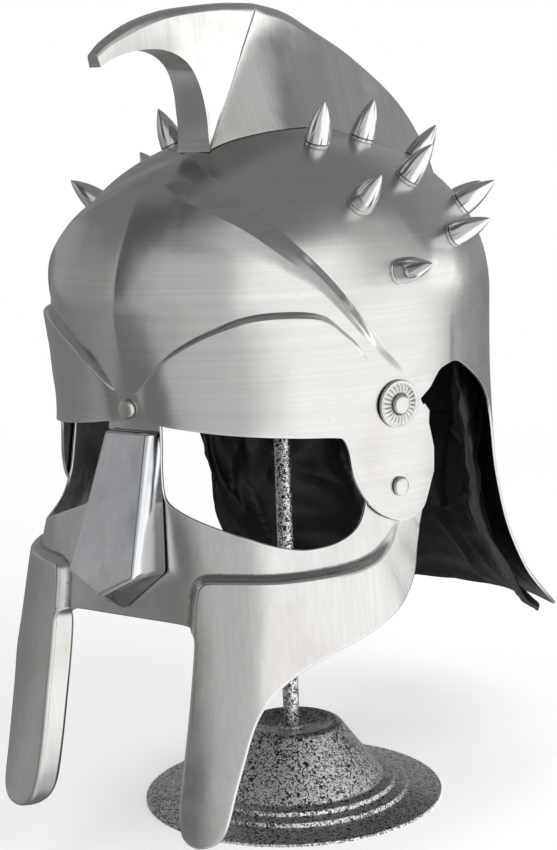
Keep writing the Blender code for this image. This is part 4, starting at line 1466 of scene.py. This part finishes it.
@dataclass
class NoseGuard(SubAssembly):
    """The folded plate over the centre strap."""

    top_drop: float = 0.005
    height: float = 0.084
    top_half_width: float = 0.0125
    half_width: float = 0.0200
    flare: float = 0.0038
    top_depth: float = 0.0045
    depth: float = 0.0205
    point_drop: float = 0.0200
    front_point_drop: float = 0.0100
    wall: float = 0.0014
    seat: float = 0.0020
    corner: float = 0.0018

    def _ring(self, front: bool) -> list[Vector]:
        """One outline of the plate, clockwise from the top left as seen from ahead.

        Args:
            front: Whether it is the front one.

        Returns:
            Its corners.
        """
        form = self.form
        top = form.rim_height - self.top_drop
        widest = top - self.height + self.point_drop
        point = widest - (self.front_point_drop if front else self.point_drop)
        flare = 0.0 if front else self.flare
        narrow, wide = self.top_half_width, self.half_width
        rows = []
        for height, half_width, depth in (
            (top, -narrow - flare, self.top_depth),
            (top, 0.0, self.top_depth),
            (top, narrow + flare, self.top_depth),
            ((top + widest) / 2, (narrow + wide) / 2 + flare, (self.top_depth + self.depth) / 2),
            (widest, wide + flare, self.depth),
            (point, 0.0, self.depth),
            (widest, -wide - flare, self.depth),
            ((top + widest) / 2, -(narrow + wide) / 2 - flare, (self.top_depth + self.depth) / 2),
        ):
            degrees = math.degrees(math.atan2(abs(half_width), form.front_reach))
            seated = form.lifted(degrees, form.run_at(height), form.second_layer)
            level = form.lifted(0.0, form.run_at(height), form.second_layer).y
            rows.append(Vector((half_width, level - depth if front else seated.y - self.seat, height)))
        return rows

    def build(self) -> None:
        """Makes the plate."""
        bm = bmesh.new()
        back = [bm.verts.new(point) for point in self._ring(False)]
        front = [bm.verts.new(point) for point in self._ring(True)]
        bm.faces.new(front)
        for i in range(len(back)):
            j = (i + 1) % len(back)
            bm.faces.new((back[i], back[j], front[j], front[i]))
        bmesh.ops.recalc_face_normals(bm, faces=bm.faces)
        if front[1].link_faces[0].normal.dot(Vector((0, -1, 0))) < 0:
            bmesh.ops.reverse_faces(bm, faces=bm.faces)
        finishes = [self.finishes.nose, self.finishes.inside]
        piece = self.piece("nose_plate", meshed(bm, "nose_plate"), finishes, ["nose_guard"])
        self.soften(piece, self.corner, 5, 20.0)
        self.thicken(piece, self.wall, 1, even=True)
        self.smooth(piece, 60.0)


@dataclass
class Crest(SubAssembly):
    """The hollow crescent over the bowl's middle line."""

    rise: float = 0.061
    reach: float = 0.137
    half_width: float = 0.0225
    edge_half_width: float = 0.0048
    edge_round: float = 0.0034
    round_steps: int = 5
    wall: float = 0.0016
    buried: float = 0.007
    lap: float = 0.0011
    lap_ring: float = 7.55
    parts: int = 9
    flank_rows: int = 26
    # Prow from its tip: reach and rise of the top and of the underside, half width of the edge and of the foot
    prow: Rows = (
        (1.00, 0.575, 0.985, 0.475, 0.50, 0.25),
        (0.93, 0.680, 0.92, 0.545, 0.70, 0.30),
        (0.80, 0.810, 0.79, 0.605, 0.90, 0.34),
        (0.63, 0.910, 0.66, 0.600, 1.00, 0.38),
        (0.46, 0.960, 0.56, 0.510, 1.00, 0.38),
        (0.32, 0.990, 0.505, 0.340, 1.00, 0.36),
        (0.22, 1.000, 0.48, 0.100, 1.00, 0.36),
        (0.14, 1.003, 0.475, -0.120, 1.00, 0.38),
    )
    # Behind it: angle back and height of the top, angle back of the foot, half width of the edge and of the foot
    back: Rows = (
        (-4.0, 1.000, -32.0, 1.00, 0.44),
        (4.0, 0.950, -17.0, 1.00, 0.84),
        (12.0, 0.860, -4.0, 0.95, 1.00),
        (28.0, 0.755, 18.0, 0.95, 0.95),
        (48.0, 0.740, 40.0, 0.95, 0.92),
        (66.0, 0.740, 62.0, 0.95, 0.88),
        (82.0, 0.620, 82.0, 0.90, 0.80),
        (96.0, 0.390, 97.0, 0.80, 0.68),
        (107.0, 0.120, 108.0, 0.60, 0.50),
    )
    # Share of the way down the flank, share of the widening from edge to foot
    flank: Curve = Curve(((0.0, 0.0), (0.30, 0.26), (0.65, 0.60), (1.00, 1.00)))

    def _line(self, top: Vector, foot: Vector, edge: float, base: float) -> tuple[list[Vector], bool]:
        """One flank of a section, from the middle of its edge down to the bowl or the underside.

        Args:
            top: The middle of its edge.
            foot: The middle of its foot, inside the bowl or under the prow.
            edge: Half width of the edge.
            base: Half width of the foot.

        Returns:
            The flank's points, and whether it stands on the bowl.
        """
        form = self.form
        length = (foot - top).length
        spread = min(length / self.rise, 1.0) * (base - edge)

        def at(share: float) -> Vector:
            """The flank at a share of the way down."""
            return top.lerp(foot, share) + Vector((edge + spread * self.flank.at(share)[0], 0, 0))

        low, high = 0.0, 1.0
        seated = form.gap(at(1.0)) < form.seat_gap and foot.z < form.crown_height
        if seated:
            for _ in range(24):
                middle = (low + high) / 2
                low, high = (middle, high) if form.gap(at(middle)) > form.seat_gap else (low, middle)
        curve = min(self.edge_round, edge * 0.8, length * 0.3)
        start = curve / length
        points = [top.copy()]
        for step in range(self.round_steps):
            turn = math.pi / 2 * step / self.round_steps
            out = edge - curve + curve * math.sin(turn)
            points.append(top.lerp(foot, start * (1 - math.cos(turn))) + Vector((out, 0, 0)))
        points += [at(start + (high - start) * i / self.flank_rows) for i in range(self.flank_rows + 1)]
        return points, seated

    def build(self) -> None:
        """Makes the crest."""
        form = self.form
        tops, feet, widths = [], [], []
        for reach, rise, low_reach, low_rise, edge, base in self.prow:
            tops.append(Vector((0, -reach * self.reach, form.crown_height + rise * self.rise)))
            feet.append(Vector((0, -low_reach * self.reach, form.crown_height + low_rise * self.rise)))
            widths.append(Vector((edge, base, 0)))
        for top_angle, share, foot_angle, edge, base in self.back:
            tops.append(form.over_middle(top_angle, share * self.rise))
            feet.append(form.over_middle(foot_angle, -self.buried))
            widths.append(Vector((edge, base, 0)))
        bm = bmesh.new()
        rings: list[tuple[list[bmesh.types.BMVert], bool]] = []
        sections = zip(rounded(tops, self.parts), rounded(feet, self.parts), rounded(widths, self.parts))
        for number, (top, foot, shares) in enumerate(sections):
            lapped = self.lap * (1 - ease(number / self.parts, self.lap_ring - 0.12, self.lap_ring + 0.12))
            edge, base = shares.x * self.edge_half_width + lapped * 0.5, shares.y * self.half_width + lapped
            half, seated = self._line(top, foot, edge, base)
            left = [bm.verts.new(point) for point in half]
            right = [bm.verts.new((-point.x, point.y, point.z)) for point in half[1:]]
            rings.append((list(reversed(left)) + right, seated))
        for (first, first_seated), (second, second_seated) in zip(rings, rings[1:]):
            for i in range(len(first) - 1):
                bm.faces.new((first[i], first[i + 1], second[i + 1], second[i]))
            if not (first_seated and second_seated):
                bm.faces.new((first[-1], first[0], second[0], second[-1]))
        bm.faces.new(rings[0][0])
        bm.faces.new(rings[-1][0])
        bmesh.ops.recalc_face_normals(bm, faces=bm.faces)
        finishes = [self.finishes.crest, self.finishes.inside]
        piece = self.piece("crest_shell", meshed(bm, "crest_shell"), finishes, ["crest"])
        self.smooth(piece, 30.0)
        self.thicken(piece, self.wall, 1)
        self.soften(piece, 0.0006, 2, 40.0)


@dataclass
class Fasteners(SubAssembly):
    """Rivets and fluted rosettes."""

    rivet_radius: float = 0.0046
    rivet_rise: float = 0.0022
    brow_rivet_rise: float = 0.006
    jaw_rivet_angle: float = 65.0
    jaw_rivet_drop: float = 0.037
    rosette_angle: float = 65.5
    rosette_rise: float = 0.003
    rosette_radius: float = 0.0115
    rosette_thickness: float = 0.0020
    rosette_seat: float = 0.0007
    rivet_sunk: float = 0.62
    flutes: int = 24
    flute_depth: float = 0.0007
    sides: int = 240
    # Radius share, height share, how deep the flutes cut there
    rosette_profile: Rows = (
        (0.0, 0.42, 0.0), (0.40, 0.42, 0.0), (0.44, 0.50, 0.0), (0.47, 0.78, 0.1), (0.51, 0.96, 0.7),
        (0.60, 1.00, 1.0), (0.70, 0.98, 1.0), (0.79, 0.86, 1.0), (0.84, 0.66, 0.6), (0.87, 0.56, 0.0),
        (0.90, 0.60, 0.0), (0.945, 0.74, 0.0), (0.975, 0.70, 0.0), (0.995, 0.50, 0.0), (1.00, 0.30, 0.0),
        (1.00, 0.0, 0.0), (0.0, 0.0, 0.0),
    )
    # Rise share, radius share
    rivet_profile: Rows = (
        (1.0, 0.0), (0.995, 0.30), (0.97, 0.58), (0.93, 0.76), (0.82, 0.88), (0.62, 0.96), (0.36, 1.0), (0.06, 1.0),
        (0.0, 0.97), (0.0, 0.0),
    )

    def _rivet(self, name: str, node: str, degrees: float, height: float, lift: float, right: bool) -> None:
        """A rivet's low head.

        Args:
            name: The piece's name.
            node: The CAD node that it replaces.
            degrees: Its angle from the front.
            height: Its height.
            lift: How far what it is set in stands off the surface.
            right: Whether it is on the wearer's right.
        """
        profile = [(radius * self.rivet_radius, rise * self.rivet_rise) for rise, radius in self.rivet_profile]
        piece = self.turned(name, profile, 64, self.finishes.nickel, [node])
        self.form.seat(piece, degrees, self.form.run_at(height), lift + self.form.seat_gap, right)

    def _rosette(self, name: str, node: str, right: bool) -> None:
        """A washer with a ring of rounded flutes between two plain rings.

        Args:
            name: The piece's name.
            node: The CAD node that it replaces.
            right: Whether it is on the wearer's right.
        """

        def dip(row: int, turn: float) -> float:
            """How far the flutes sink the washer's face."""
            cut = self.rosette_profile[row][2]
            return self.flute_depth * cut * (1 - abs(math.cos(turn * self.flutes / 2)))

        profile = [(r * self.rosette_radius, h * self.rosette_thickness) for r, h, _ in self.rosette_profile]
        piece = self.turned(name, profile, self.sides, self.finishes.nickel, [node], dip, 50.0)
        lift = self.form.third_layer + self.rosette_seat
        run = self.form.run_at(self.form.rim_height + self.rosette_rise)
        self.form.seat(piece, self.rosette_angle, run, lift, right)

    def build(self) -> None:
        """Makes the brow rivet, and a rosette with its rivet and a jaw rivet on each side."""
        form = self.form
        outer = form.third_layer
        self._rivet("brow_rivet_head", "brow_rivet", 0.0, form.rim_height + self.brow_rivet_rise, outer, False)
        for side in ("left", "right"):
            right = side == "right"
            jaw = form.rim_height - self.jaw_rivet_drop
            self._rivet(f"jaw_rivet_head_{side}", f"jaw_rivet_{side}", self.jaw_rivet_angle, jaw, outer, right)
            self._rosette(f"fluted_rosette_{side}", f"rosette_{side}", right)
            lift = outer + self.rosette_seat + self.rosette_thickness * self.rivet_sunk
            height = form.rim_height + self.rosette_rise
            self._rivet(f"rosette_rivet_head_{side}", f"rosette_rivet_{side}", self.rosette_angle, height, lift, right)


@dataclass
class Spikes(SubAssembly):
    """Rows of turned spikes on both sides of the crest."""

    radius: float = 0.0066
    length: float = 0.0215
    bite: float = 0.0003
    # Angle off the crest, first and last angle back from the crown, count
    rows: Rows = ((24.0, -14.0, 58.0, 4), (47.0, -34.0, 42.0, 3), (67.0, -58.0, 22.0, 2))
    # Height share, radius share
    profile: Rows = (
        (1.00, 0.0), (0.995, 0.035), (0.975, 0.085), (0.94, 0.16), (0.88, 0.27), (0.80, 0.40), (0.70, 0.54),
        (0.60, 0.665), (0.50, 0.77), (0.40, 0.855), (0.30, 0.92), (0.20, 0.965), (0.12, 0.99), (0.075, 1.0),
        (0.068, 0.955), (0.045, 0.95), (0.036, 1.0), (0.008, 1.0), (0.0, 0.97), (0.0, 0.0),
    )

    def build(self) -> None:
        """Makes the spikes."""
        profile = [(radius * self.radius, height * self.length) for height, radius in self.profile]
        for side in ("left", "right"):
            number = 0
            for off_crest, first, last, count in self.rows:
                for i in range(int(count)):
                    number += 1
                    degrees, run = self.form.over_dome(off_crest, first + (last - first) * i / (count - 1))
                    piece = self.turned(
                        f"turned_spike_{side}_{number}", profile, 48, self.finishes.spike, [f"spike_{side}_{number}"]
                    )
                    self.form.seat(piece, degrees, run, -self.bite, side == "right")


@dataclass
class Lining(SubAssembly):
    """Black leather inside the bowl and down the neck guard."""

    bowl: Bowl | None = None
    leather: float = 0.0014
    slack: float = 0.005
    standoff: float = 0.0006
    neck_start: float = 0.56
    neck_rows: tuple[float, float] = (0.02, 0.335)
    liner_rows: tuple[float, float] = (0.325, 0.985)
    belly: float = 0.0042
    hung_forward: float = 14.0
    hung_inward: float = 0.004
    hung_stations: tuple[float, float] = (0.30, 0.75)
    neck_cut: tuple[float, float] = (0.46, 0.20)
    liner_cut: tuple[float, float] = (0.62, 0.24)
    held_row: float = 0.86
    lower_slack: float = 0.0022
    unevenness: float = 0.0016
    pleats: int = 13
    pleat_depth: float = 0.0012
    fold_squash: float = 0.7
    # Folds of the neck lining: start station and height, end station and height, depth, width as a share of the sheet
    folds: Rows = (
        (0.06, 1.00, 0.16, 0.10, 0.0050, 0.030),
        (0.30, 1.02, 0.22, 0.34, 0.0060, 0.035),
        (0.22, 0.36, 0.46, 0.02, 0.0065, 0.030),
        (0.42, 0.98, 0.52, 0.40, 0.0055, 0.028),
        (0.52, 0.42, 0.40, -0.02, 0.0060, 0.034),
        (0.66, 1.00, 0.60, 0.30, 0.0060, 0.030),
        (0.60, 0.30, 0.78, 0.00, 0.0070, 0.032),
        (0.80, 0.95, 0.72, 0.46, 0.0055, 0.026),
        (0.72, 0.46, 0.90, 0.20, 0.0070, 0.030),
        (0.93, 0.90, 0.86, 0.02, 0.0050, 0.028),
        (0.10, 0.48, 0.34, 0.62, 0.0040, 0.030),
        (0.56, 0.66, 0.88, 0.58, 0.0042, 0.028),
    )

    def _fold(self, station: float, v: float) -> float:
        """How far the folds push the neck lining off the steel at a place.

        Args:
            station: From the front edge, 0, to the back, 1.
            v: From the lower edge, 0, to the upper edge, 1.

        Returns:
            The distance.
        """
        wander = noise.noise(Vector((station * 5.0, v * 4.0, 1.7))) * 0.05
        depth = 0.0
        for start, low, end, high, deep, width in self.folds:
            dx, dy = end - start, (high - low) * self.fold_squash
            px, py = station + wander - start, (v + wander - low) * self.fold_squash
            along = min(max((px * dx + py * dy) / (dx * dx + dy * dy), 0.0), 1.0)
            away = math.hypot(px - along * dx, py - along * dy)
            crest = max(1 - away / (width * 2.2), 0.0) ** 1.8
            depth = max(depth, deep * crest * (0.35 + 0.65 * math.sin(math.pi * min(max(along, 0.06), 0.94))))
        return depth

    def neck_point(self, station: float, v: float) -> Vector:
        """A point of the neck lining.

        Args:
            station: From the front edge, 0, to the back, 1.
            v: From the lower edge, 0, to the upper edge, 1.

        Returns:
            The point.
        """
        across = self.neck_start + (1 - self.neck_start) * station
        row = self.neck_rows[0] + (self.neck_rows[1] - self.neck_rows[0]) * v
        held = ease(v, 1.0, self.held_row) if v > self.held_row else 1.0
        loose = self.belly * math.sin(math.pi * min(v * 1.1, 1.0)) + self.lower_slack * (1 - ease(v, 0.0, 0.16))
        loose += self.unevenness * (1 + noise.noise(Vector((across * 17.0, v * 9.0, 0.3))))
        inward = (loose + self._fold(1 - station, v)) * held
        degrees, drop = self.bowl.rim.at(across)
        run = self.form.run_at(self.form.rim_height - drop * self.form.neck_drop) * (1 - row)
        free = (1 - ease(station, *self.hung_stations)) * (1 - ease(v, 0.3, 1.0))
        degrees -= self.hung_forward * free
        lift = -self.form.second_layer - self.standoff - inward - self.hung_inward * free
        return self.form.lifted(degrees, run, lift)

    def head_point(self, station: float, v: float) -> Vector:
        """A point of the head liner, gathered in shallow pleats towards the crown.

        Args:
            station: From front, 0, to back, 1.
            v: From the lower edge, 0, to the crown, 1.

        Returns:
            The point.
        """
        row = self.liner_rows[0] + (self.liner_rows[1] - self.liner_rows[0]) * v
        away = self.slack * ease(row, self.liner_rows[0], 0.7)
        pleat = 0.5 + 0.5 * math.cos(station * math.pi * 2 * self.pleats + 0.8 * math.sin(station * 9.0))
        away += self.pleat_depth * pleat**2 * ease(v, 0.04, 0.3) * (1 - ease(v, 0.75, 0.98))
        return self.bowl.point(station, row, -self.form.second_layer - away)

    def build(self) -> None:
        """Makes both linings."""
        hung = self.grid("leather_neck_lining", 200, 96, both_sides(self.neck_point, True))
        neck = self.formed(hung, self.leather, [self.finishes.leather], ["neck_lining"])
        gathered = self.grid("leather_head_liner", 240, 60, both_sides(self.head_point))
        head = self.formed(gathered, self.leather, [self.finishes.leather], ["head_liner"])
        for piece, cut, held in ((neck, self.neck_cut, Held.HUNG), (head, self.liner_cut, Held.STRETCHED)):
            area = sum(face.area for face in piece.data.polygons)
            LOG.info("%s has %.4f square metres of leather", piece.name, area)


@dataclass
class Stand(SubAssembly):
    """The pressed foot and the rod that carries the helmet."""

    foot_radius: float = 0.080
    foot_sheet: float = 0.0014
    foot_roll: float = 0.0028
    flat_width: float = 0.018
    step_width: float = 0.007
    step_rise: float = 0.0032
    cone_rise: float = 0.040
    cone_top_radius: float = 0.027
    cone_top_dip: float = 0.004
    rod_radius: float = 0.0043
    boss_radius: float = 0.0085
    pad_radius: float = 0.026
    pad_crown: float = 0.0032
    pad_thickness: float = 0.003
    pad_edge: float = 0.0006
    rod_fillet: float = 0.001
    rod_parts: int = 40
    # Share of the pad's radius, share of its fall
    pad_curve: Rows = ((0.0, 0.0), (0.25, 0.06), (0.5, 0.25), (0.75, 0.58))
    liner_slack: float = 0.005
    leather: float = 0.0014
    bend_width: float = 0.0016
    spin_steps: int = 160
    weld_around: int = 72
    weld_about: int = 14
    weld_rise: float = 0.0009
    weld_out: float = 0.0012
    # Radius of the weld bead, then how far its lumps and its grain change it
    weld_sizes: tuple[float, float, float] = (0.0015, 0.0006, 0.0002)

    def _foot(self) -> None:
        """A spun disc with a rolled edge, two steps and a dished cone."""
        flat = self.foot_radius - self.flat_width
        chain = [
            (self.rod_radius + 0.0004, self.cone_rise - self.cone_top_dip),
            (self.cone_top_radius * 0.55, self.cone_rise - self.cone_top_dip * 0.6),
            (self.cone_top_radius * 0.88, self.cone_rise),
            (self.cone_top_radius, self.cone_rise - 0.0015),
            (flat - 2 * self.step_width, self.foot_roll + 2 * self.step_rise + 0.001),
            (flat - 1.9 * self.step_width, self.foot_roll + 2 * self.step_rise),
            (flat - 1.1 * self.step_width, self.foot_roll + 2 * self.step_rise - 0.0006),
            (flat - self.step_width, self.foot_roll + self.step_rise),
            (flat - 0.1 * self.step_width, self.foot_roll + self.step_rise - 0.0006),
            (flat, self.foot_roll),
            (self.foot_radius, self.foot_roll - 0.0012),
            (self.foot_radius, 0.0),
        ]
        mesh = bpy.data.meshes.new("foot_disc")
        mesh.from_pydata([(r, 0, h) for r, h in chain], [(i, i + 1) for i in range(len(chain) - 1)], [])
        piece = self.piece("foot_disc", mesh, [self.finishes.paint], ["stand_foot"])
        bevel = piece.modifiers.new("pressed_bends", "BEVEL")
        bevel.affect = "VERTICES"
        bevel.width = self.bend_width
        bevel.segments = 4
        screw = piece.modifiers.new("spun", "SCREW")
        screw.steps = screw.render_steps = self.spin_steps
        screw.use_merge_vertices = True
        screw.merge_threshold = JOINED
        screw.use_smooth_shade = True
        self.thicken(piece, self.foot_sheet, 0)
        self.soften(piece, 0.0004)

    def _rod(self) -> None:
        """The rod with its boss under the foot and its pad under the crown."""
        form = self.form
        pad_top = form.crown_height - form.second_layer - self.liner_slack - self.leather - form.seat_gap
        boss_top = self.cone_rise - self.cone_top_dip - self.foot_sheet - form.seat_gap
        pad, fillet = self.pad_radius, self.rod_fillet
        rim = pad_top - self.pad_crown
        profile = [(pad * out, pad_top - self.pad_crown * fall) for out, fall in self.pad_curve]
        profile += [(pad - self.pad_edge, pad_top - self.pad_crown * 0.97), (pad, rim - self.pad_edge)]
        rim -= self.pad_thickness
        profile += [(pad, rim), (self.rod_radius + fillet, rim), (self.rod_radius, rim - fillet)]
        high, low = rim - fillet, boss_top + fillet
        shares = [i / self.rod_parts for i in range(1, self.rod_parts + 1)]
        profile += [(self.rod_radius, high + (low - high) * share) for share in shares]
        boss = self.boss_radius
        profile += [(self.rod_radius + fillet, boss_top), (boss, boss_top), (boss, 0.0), (0.0, 0.0)]
        self.turned("support_rod", profile, 48, self.finishes.paint, ["stand_rod"])

    def _weld(self) -> None:
        """The lumpy bead where the rod passes the foot."""
        bm = bmesh.new()
        around, about = self.weld_around, self.weld_about
        radius, lumps, grain = self.weld_sizes
        centre = self.cone_rise - self.cone_top_dip + self.weld_rise
        for i in range(around):
            turn = 2 * math.pi * i / around
            lump = noise.noise(Vector((math.cos(turn) * 2.6, math.sin(turn) * 2.6, 4.0)))
            for j in range(about):
                roll = 2 * math.pi * j / about
                size = radius + lumps * lump + grain * noise.noise(Vector((i * 0.9, j * 0.7, 2.0)))
                out = self.rod_radius + self.weld_out + size * math.cos(roll)
                bm.verts.new((out * math.cos(turn), out * math.sin(turn), centre + size * math.sin(roll)))
        bm.verts.ensure_lookup_table()
        for i in range(around):
            for j in range(about):
                i2, j2 = (i + 1) % around, (j + 1) % about
                bm.faces.new([bm.verts[a * about + b] for a, b in ((i, j), (i2, j), (i2, j2), (i, j2))])
        bmesh.ops.recalc_face_normals(bm, faces=bm.faces)
        self.smooth(self.piece("rod_weld", meshed(bm, "rod_weld"), [self.finishes.paint], []))

    def build(self) -> None:
        """Makes the stand."""
        self._foot()
        self._rod()
        self._weld()


@dataclass
class Softbox:
    """A soft area light that faces a point of the helmet."""

    name: str
    azimuth: float
    elevation: float
    distance: float
    size: tuple[float, float]
    power: float

    def light(self, target: Vector) -> None:
        """Sets the light up.

        Args:
            target: The point that it faces.
        """
        data = bpy.data.lights.new(self.name, "AREA")
        data.shape = "RECTANGLE"
        data.size, data.size_y = self.size
        data.energy = self.power
        lamp = placed(self.name, data)
        lamp.visible_glossy = False
        back = bearing(self.azimuth, self.elevation)
        lamp.location = target + back * self.distance
        lamp.rotation_mode = "QUATERNION"
        lamp.rotation_quaternion = (-back).to_track_quat("-Z", "Y")


@dataclass
class Studio:
    """Camera, floor, surroundings and lights."""

    finishes: Finishes
    azimuth: float = 35.6
    elevation: float = 9.1
    roll: float = -2.0
    lens: float = 78.17
    sensor: float = 36.0
    distance: float = 1.0
    target: tuple[float, float, float] = (-0.0184, 0.0231, 0.1965)
    floor_half: float = 12.0
    backdrop: float = 1.0
    lit_height: float = 0.25
    lights: tuple[Softbox, ...] = (
        Softbox("key_box", 70.0, 42.0, 1.6, (1.0, 1.0), 9.0),
        Softbox("front_box", -10.0, 50.0, 1.7, (0.9, 0.9), 4.0),
        Softbox("back_box", 190.0, 45.0, 1.7, (1.0, 0.8), 4.0),
    )
    # Walls of the room as the steel mirrors them: azimuth, full and faded half width, lowest and highest elevation,
    # how softly they end there, brightness
    walls: Rows = (
        (185.0, 20.0, 46.0, -90.0, 26.0, 20.0, 0.36),
        (8.0, 30.0, 62.0, -90.0, 34.0, 14.0, 0.72),
        (-80.0, 25.0, 50.0, -90.0, 14.0, 12.0, 0.40),
        (90.0, 42.0, 54.0, -90.0, 9.0, 9.0, 1.60),
        (72.0, 26.0, 44.0, -90.0, 34.0, 14.0, 1.45),
        (147.0, 6.0, 11.0, -4.0, 9.0, 5.0, 2.20),
        (118.0, 10.0, 24.0, 14.0, 40.0, 12.0, 0.72),
        (-47.0, 10.0, 20.0, 6.0, 26.0, 8.0, 0.56),
        (-26.0, 8.0, 17.0, 6.0, 56.0, 10.0, 0.11),
    )
    surround: float = 0.25

    def camera(self) -> None:
        """Sets the camera up at the photograph's angle."""
        back, roll = bearing(self.azimuth, self.elevation), math.radians(self.roll)
        right = bearing(self.azimuth + 90)
        up = back.cross(right)
        turned_right = right * math.cos(roll) + up * math.sin(roll)
        turned_up = up * math.cos(roll) - right * math.sin(roll)
        data = bpy.data.cameras.new("camera")
        data.lens = self.lens
        data.sensor_width = self.sensor
        data.sensor_fit = "AUTO"
        data.clip_start, data.clip_end = 0.05, 60.0
        lens = placed("camera", data)
        turn = Matrix((turned_right, turned_up, back)).transposed().to_4x4()
        lens.matrix_world = Matrix.Translation(Vector(self.target) + back * self.distance) @ turn
        bpy.context.scene.camera = lens

    def floor(self) -> None:
        """Lays the floor."""
        bm = bmesh.new()
        bmesh.ops.create_grid(bm, x_segments=8, y_segments=8, size=self.floor_half)
        floor = placed("studio_floor", meshed(bm, "studio_floor"))
        floor.data.materials.append(self.finishes.floor.material())

    def surroundings(self) -> None:
        """An even pale backdrop, and for reflections a room with brighter and darker walls."""
        world = bpy.data.worlds.new("studio")
        world.use_nodes = True
        bpy.context.scene.world = world
        graph = Graph(world.node_tree)
        background = world.node_tree.nodes["Background"]
        looking = graph.add("ShaderNodeTexCoord").outputs["Generated"]
        level: object = self.surround
        flat = graph.vectors("MULTIPLY", {0: looking, 1: (1.0, 1.0, 0.0)})
        flat = graph.vectors("NORMALIZE", {0: flat})
        height = graph.add("ShaderNodeSeparateXYZ", {0: looking}).outputs["Z"]
        for azimuth, full, faded, low, high, soft, brightness in self.walls:
            facing = graph.vectors("DOT_PRODUCT", {0: flat, 1: bearing(azimuth)})
            wide, narrow, under, floor, ceiling, over = (
                math.radians(x) for x in (faded, full, low - soft, low, high, high + soft)
            )
            near = graph.between(facing, math.cos(wide), math.cos(narrow))
            below = graph.between(height, math.sin(ceiling), math.sin(over), 1.0, 0.0)
            near = graph.times(near, below)
            if low > -90:
                near = graph.times(near, graph.between(height, math.sin(under), math.sin(floor)))
            kept = graph.times(level, graph.maths("SUBTRACT", 1.0, near))
            level = graph.maths("ADD", kept, graph.times(near, brightness))
        seen = graph.add("ShaderNodeLightPath").outputs["Is Camera Ray"]
        kept = graph.times(level, graph.maths("SUBTRACT", 1.0, seen))
        strength = graph.maths("ADD", kept, graph.times(seen, self.backdrop))
        graph.fill(background, {"Strength": strength, "Color": (1, 1, 1, 1)})

    def build(self) -> None:
        """Sets the whole studio up."""
        self.camera()
        self.floor()
        self.surroundings()
        for softbox in self.lights:
            softbox.light(Vector((0, 0, self.lit_height)))
        bpy.context.scene.view_settings.view_transform = "Standard"


def main() -> None:
    """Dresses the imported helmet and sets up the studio."""
    logging.basicConfig(level=logging.INFO, format="%(message)s")
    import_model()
    form, finishes = HeadForm(), Finishes()
    bowl = Bowl(form, finishes)
    assemblies: list[SubAssembly] = [
        Stand(form, finishes),
        bowl,
        BrowPlate(form, finishes),
        FaceGuard(form, finishes),
        NoseGuard(form, finishes),
        Crest(form, finishes),
        Fasteners(form, finishes),
        Spikes(form, finishes),
        Lining(form, finishes, bowl=bowl),
    ]
    for assembly in assemblies:
        assembly.build()
        assembly.ride()
    Studio(finishes).build()


if __name__ == "__main__":
    main()
